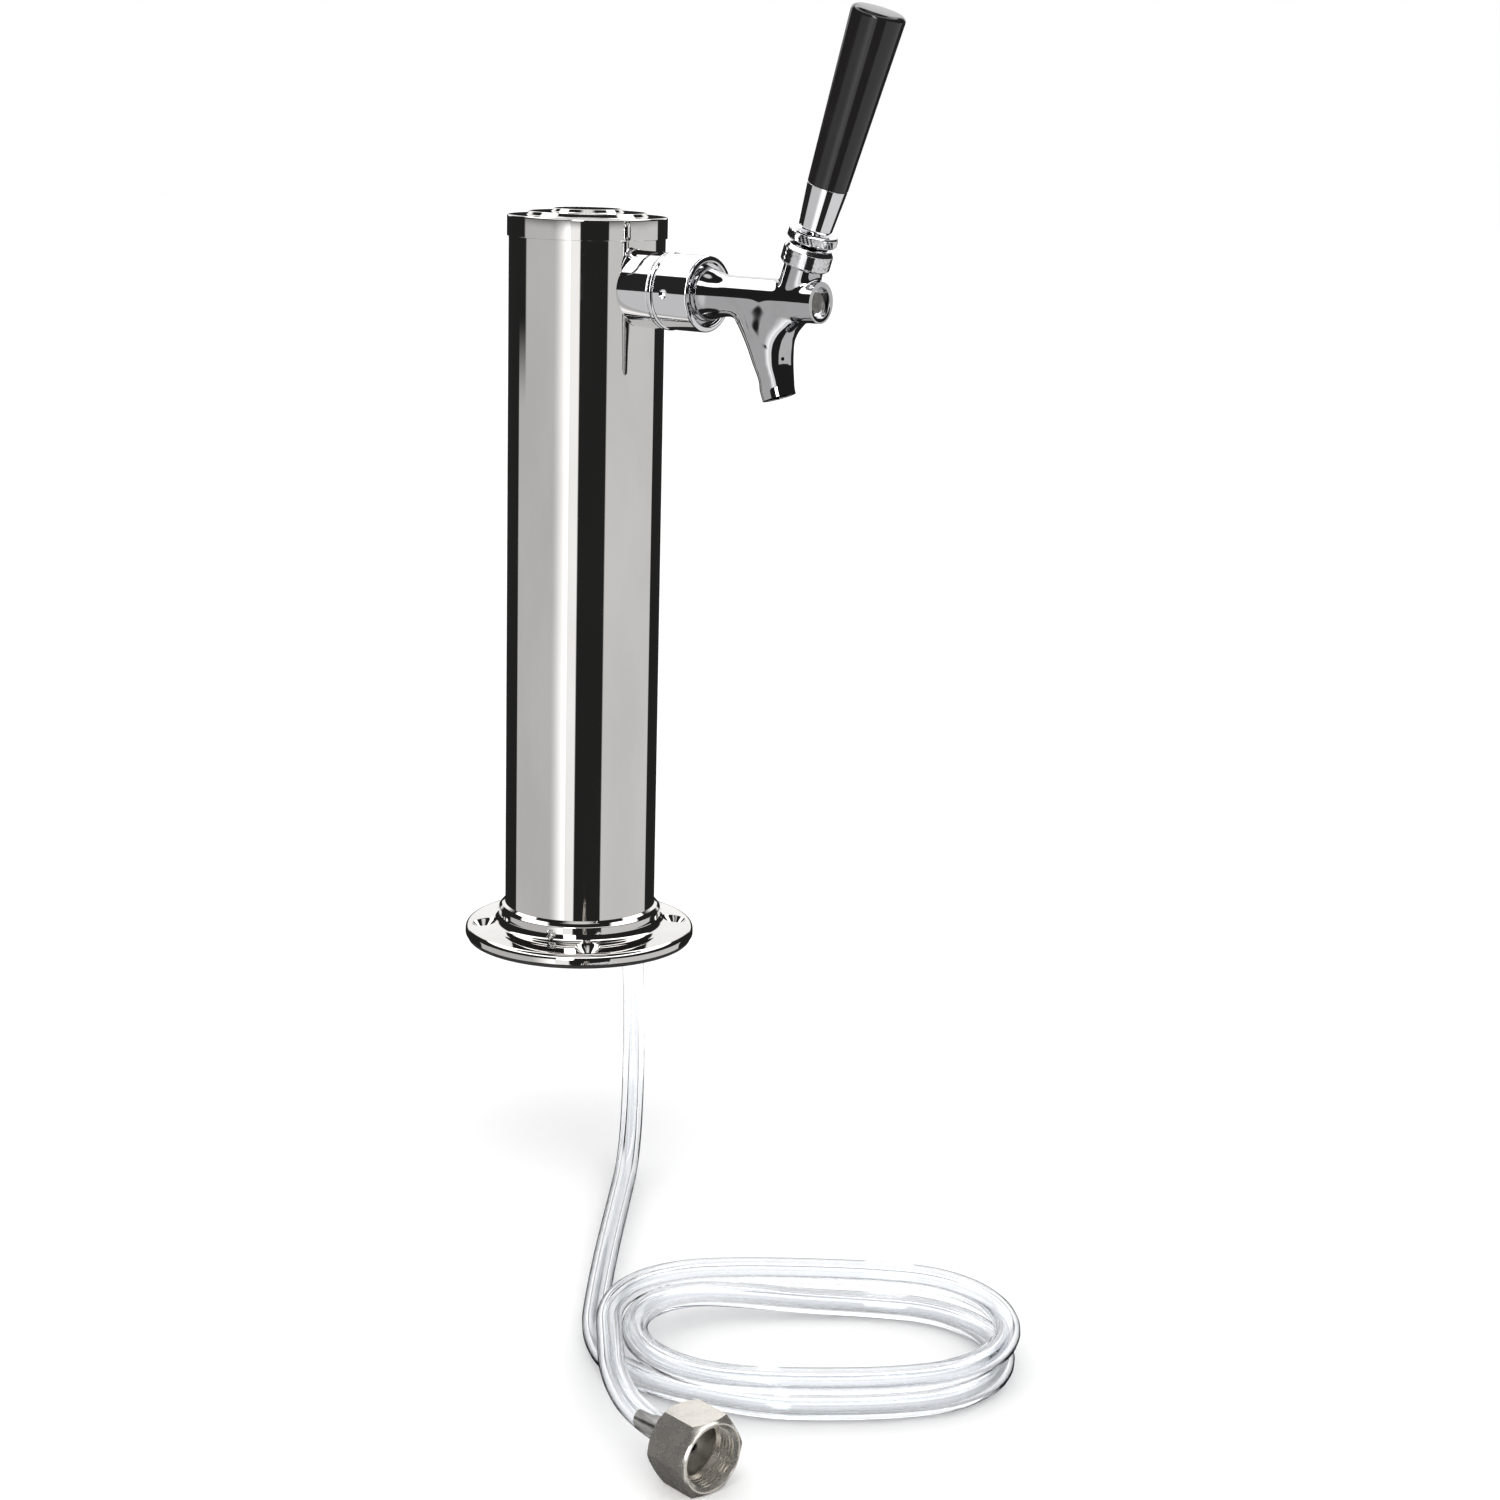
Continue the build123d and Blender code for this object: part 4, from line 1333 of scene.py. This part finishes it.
def studio_world():
    """Even daylight for dull surfaces, and a banded studio for the mirrors to reflect."""
    settings = bpy.context.scene.tower_studio
    world = bpy.data.worlds.new("studio")
    world.use_nodes = True
    world.cycles.sampling_method = "NONE"
    shader = Shader(world.node_tree)
    way = shader.node("ShaderNodeTexCoord", output="Generated")
    turned_way = shader.node(
        "ShaderNodeVectorRotate", {"rotation_type": "Z_AXIS"}, {"Vector": way, "Angle": -settings.azimuth}
    )
    split = shader.node("ShaderNodeSeparateXYZ", None, {"Vector": turned_way})
    axes = split.socket.node.outputs
    x, y, z = (Value(shader, axes[i]) for i in range(3))
    to_side = shader.node("ShaderNodeMath", {"operation": "ARCTAN2"}, {0: x, 1: y * -1}) * (180 / pi)
    rise = shader.node("ShaderNodeMath", {"operation": "ARCSINE"}, {0: z}) * (180 / pi)
    leaf = to_side.band(-125, -100, 2) * rise.ramp(-6.5, -4.5)
    table_left = to_side.band(-116, -24, 1.0) * (1 - leaf) * 0.56
    table_right = to_side.band(31, 120, 1.0) * 0.68
    window = to_side.ramp(-50, -20) * (1 - to_side.ramp(-11, -9)) * 1.1
    below = 1 - rise.ramp(-2.6, -1.8)
    deep = rise.ramp(-62, -56)
    low_part = (table_left + table_right + window) * below * deep + 0.02
    overhead = rise.band(38, 56, 1.5) * 2.4
    top = rise.ramp(74, 80) * 0.9
    strip = to_side.band(-22, -6, 1.5) * rise.band(0, 36, 2) * 7.0
    backdrop = (1 - to_side.band(-148, 148, 4)) * rise.band(6, 50, 2) * 1.1
    mirror = low_part + (overhead + top) + (backdrop + strip)
    path = shader.node("ShaderNodeLightPath")
    outputs = path.socket.node.outputs
    glossy = Value(shader, outputs["Is Glossy Ray"])
    shown = Value(shader, outputs["Is Camera Ray"])
    diffuse = (1 - glossy) * ((1 - shown) * settings.daylight + shown)
    strength = mirror * glossy + diffuse
    back = shader.node("ShaderNodeBackground", None, {"Color": (1, 1, 1, 1), "Strength": strength})
    shader.node("ShaderNodeOutputWorld", None, {"Surface": back})
    return world


class TAPTOWER_OT_stage(bpy.types.Operator):
    """Set up the camera, the pale floor and the soft light"""

    bl_idname = "taptower.stage"
    bl_label = "Stage"

    def execute(self, context):
        settings = context.scene.tower_studio
        self.camera(context, settings)
        self.floor(context)
        context.scene.world = studio_world()
        context.scene.view_settings.view_transform = "Standard"
        lamp = bpy.data.lights.new("overhead", "AREA")
        lamp.shape = "DISK"
        lamp.size = 1.6
        lamp.energy = settings.key_power
        light = bpy.data.objects.new("overhead", lamp)
        light.matrix_world = Matrix.Translation((-0.6, -0.2, 1.9))
        light.visible_glossy = False
        context.scene.collection.objects.link(light)
        return {"FINISHED"}

    def camera(self, context, settings):
        data = bpy.data.cameras.new("camera")
        data.sensor_width = 36
        data.lens = settings.lens
        data.clip_end = 100
        camera = bpy.data.objects.new("camera", data)
        stand = settings.azimuth
        place = Vector((sin(stand), -cos(stand), 0)) * settings.distance
        heading, pitch, roll = radians(3.569), radians(13.311), radians(1.483)
        camera.matrix_world = (
            Matrix.Translation((place.x, place.y, settings.height))
            @ Matrix.Rotation(stand - heading, 4, "Z")
            @ Matrix.Rotation(pi / 2 - pitch, 4, "X")
            @ Matrix.Rotation(roll, 4, "Z")
        )
        context.scene.collection.objects.link(camera)
        context.scene.camera = camera

    def floor(self, context):
        shape = bmesh.new()
        bmesh.ops.create_circle(shape, cap_ends=True, radius=12, segments=96)
        bmesh.ops.translate(shape, vec=(0, 0, FLOOR_Z - 0.0002), verts=shape.verts)
        floor = as_object("floor", shape)
        tint = context.scene.tower_colours.floor

        def build(shader):
            cloud = shader.noise(3, 3)
            return {"Base Color": shader.mix(cloud, shade(tint, 0.99), solid(tint))}

        floor.data.materials.append(material("studio_floor", {"Roughness": 0.9}, build))
        floor.visible_glossy = False
        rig.stage(floor)


# ---------------------------------------------------------------- add-on

OPERATORS = (
    TAPTOWER_OT_line_nut, TAPTOWER_OT_hose, TAPTOWER_OT_column, TAPTOWER_OT_base, TAPTOWER_OT_cap,
    TAPTOWER_OT_shank, TAPTOWER_OT_coupling, TAPTOWER_OT_faucet_body, TAPTOWER_OT_valve,
    TAPTOWER_OT_bonnet, TAPTOWER_OT_lever, TAPTOWER_OT_handle, TAPTOWER_OT_inner_pieces,
)


class TAPTOWER_PT_panel(bpy.types.Panel):
    """Lists the tower's pieces and its sizes and colours"""

    bl_label = "Beer Tap Tower"
    bl_idname = "TAPTOWER_PT_panel"
    bl_space_type = "VIEW_3D"
    bl_region_type = "UI"
    bl_category = "Tap Tower"

    def draw(self, context):
        layout = self.layout
        for group in (context.scene.tower_sizes, context.scene.tower_colours, context.scene.tower_studio):
            box = layout.box()
            for key in group.__annotations__:
                box.prop(group, key)
        for operator in (TAPTOWER_OT_stage, *OPERATORS):
            layout.operator(operator.bl_idname)


GROUPS = {"tower_sizes": TowerSizes, "tower_colours": TowerColours, "tower_studio": StudioSettings}
CLASSES = (*GROUPS.values(), TAPTOWER_OT_stage, *OPERATORS, TAPTOWER_PT_panel)


def register():
    for cls in CLASSES:
        bpy.utils.register_class(cls)
    for name, group in GROUPS.items():
        setattr(bpy.types.Scene, name, bpy.props.PointerProperty(type=group))


def unregister():
    for name in GROUPS:
        delattr(bpy.types.Scene, name)
    for cls in reversed(CLASSES):
        bpy.utils.unregister_class(cls)


def main():
    register()
    bpy.ops.taptower.stage()
    for operator in OPERATORS:
        group, name = operator.bl_idname.split(".")
        getattr(getattr(bpy.ops, group), name)()
    boxes = {"cad": [list(c) for c in CAD_BOX], "visual": [list(c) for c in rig.bounds()]}
    with open("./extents.json", "w") as file:
        json.dump(boxes, file, indent=1)


if __name__ == "__main__":
    main()
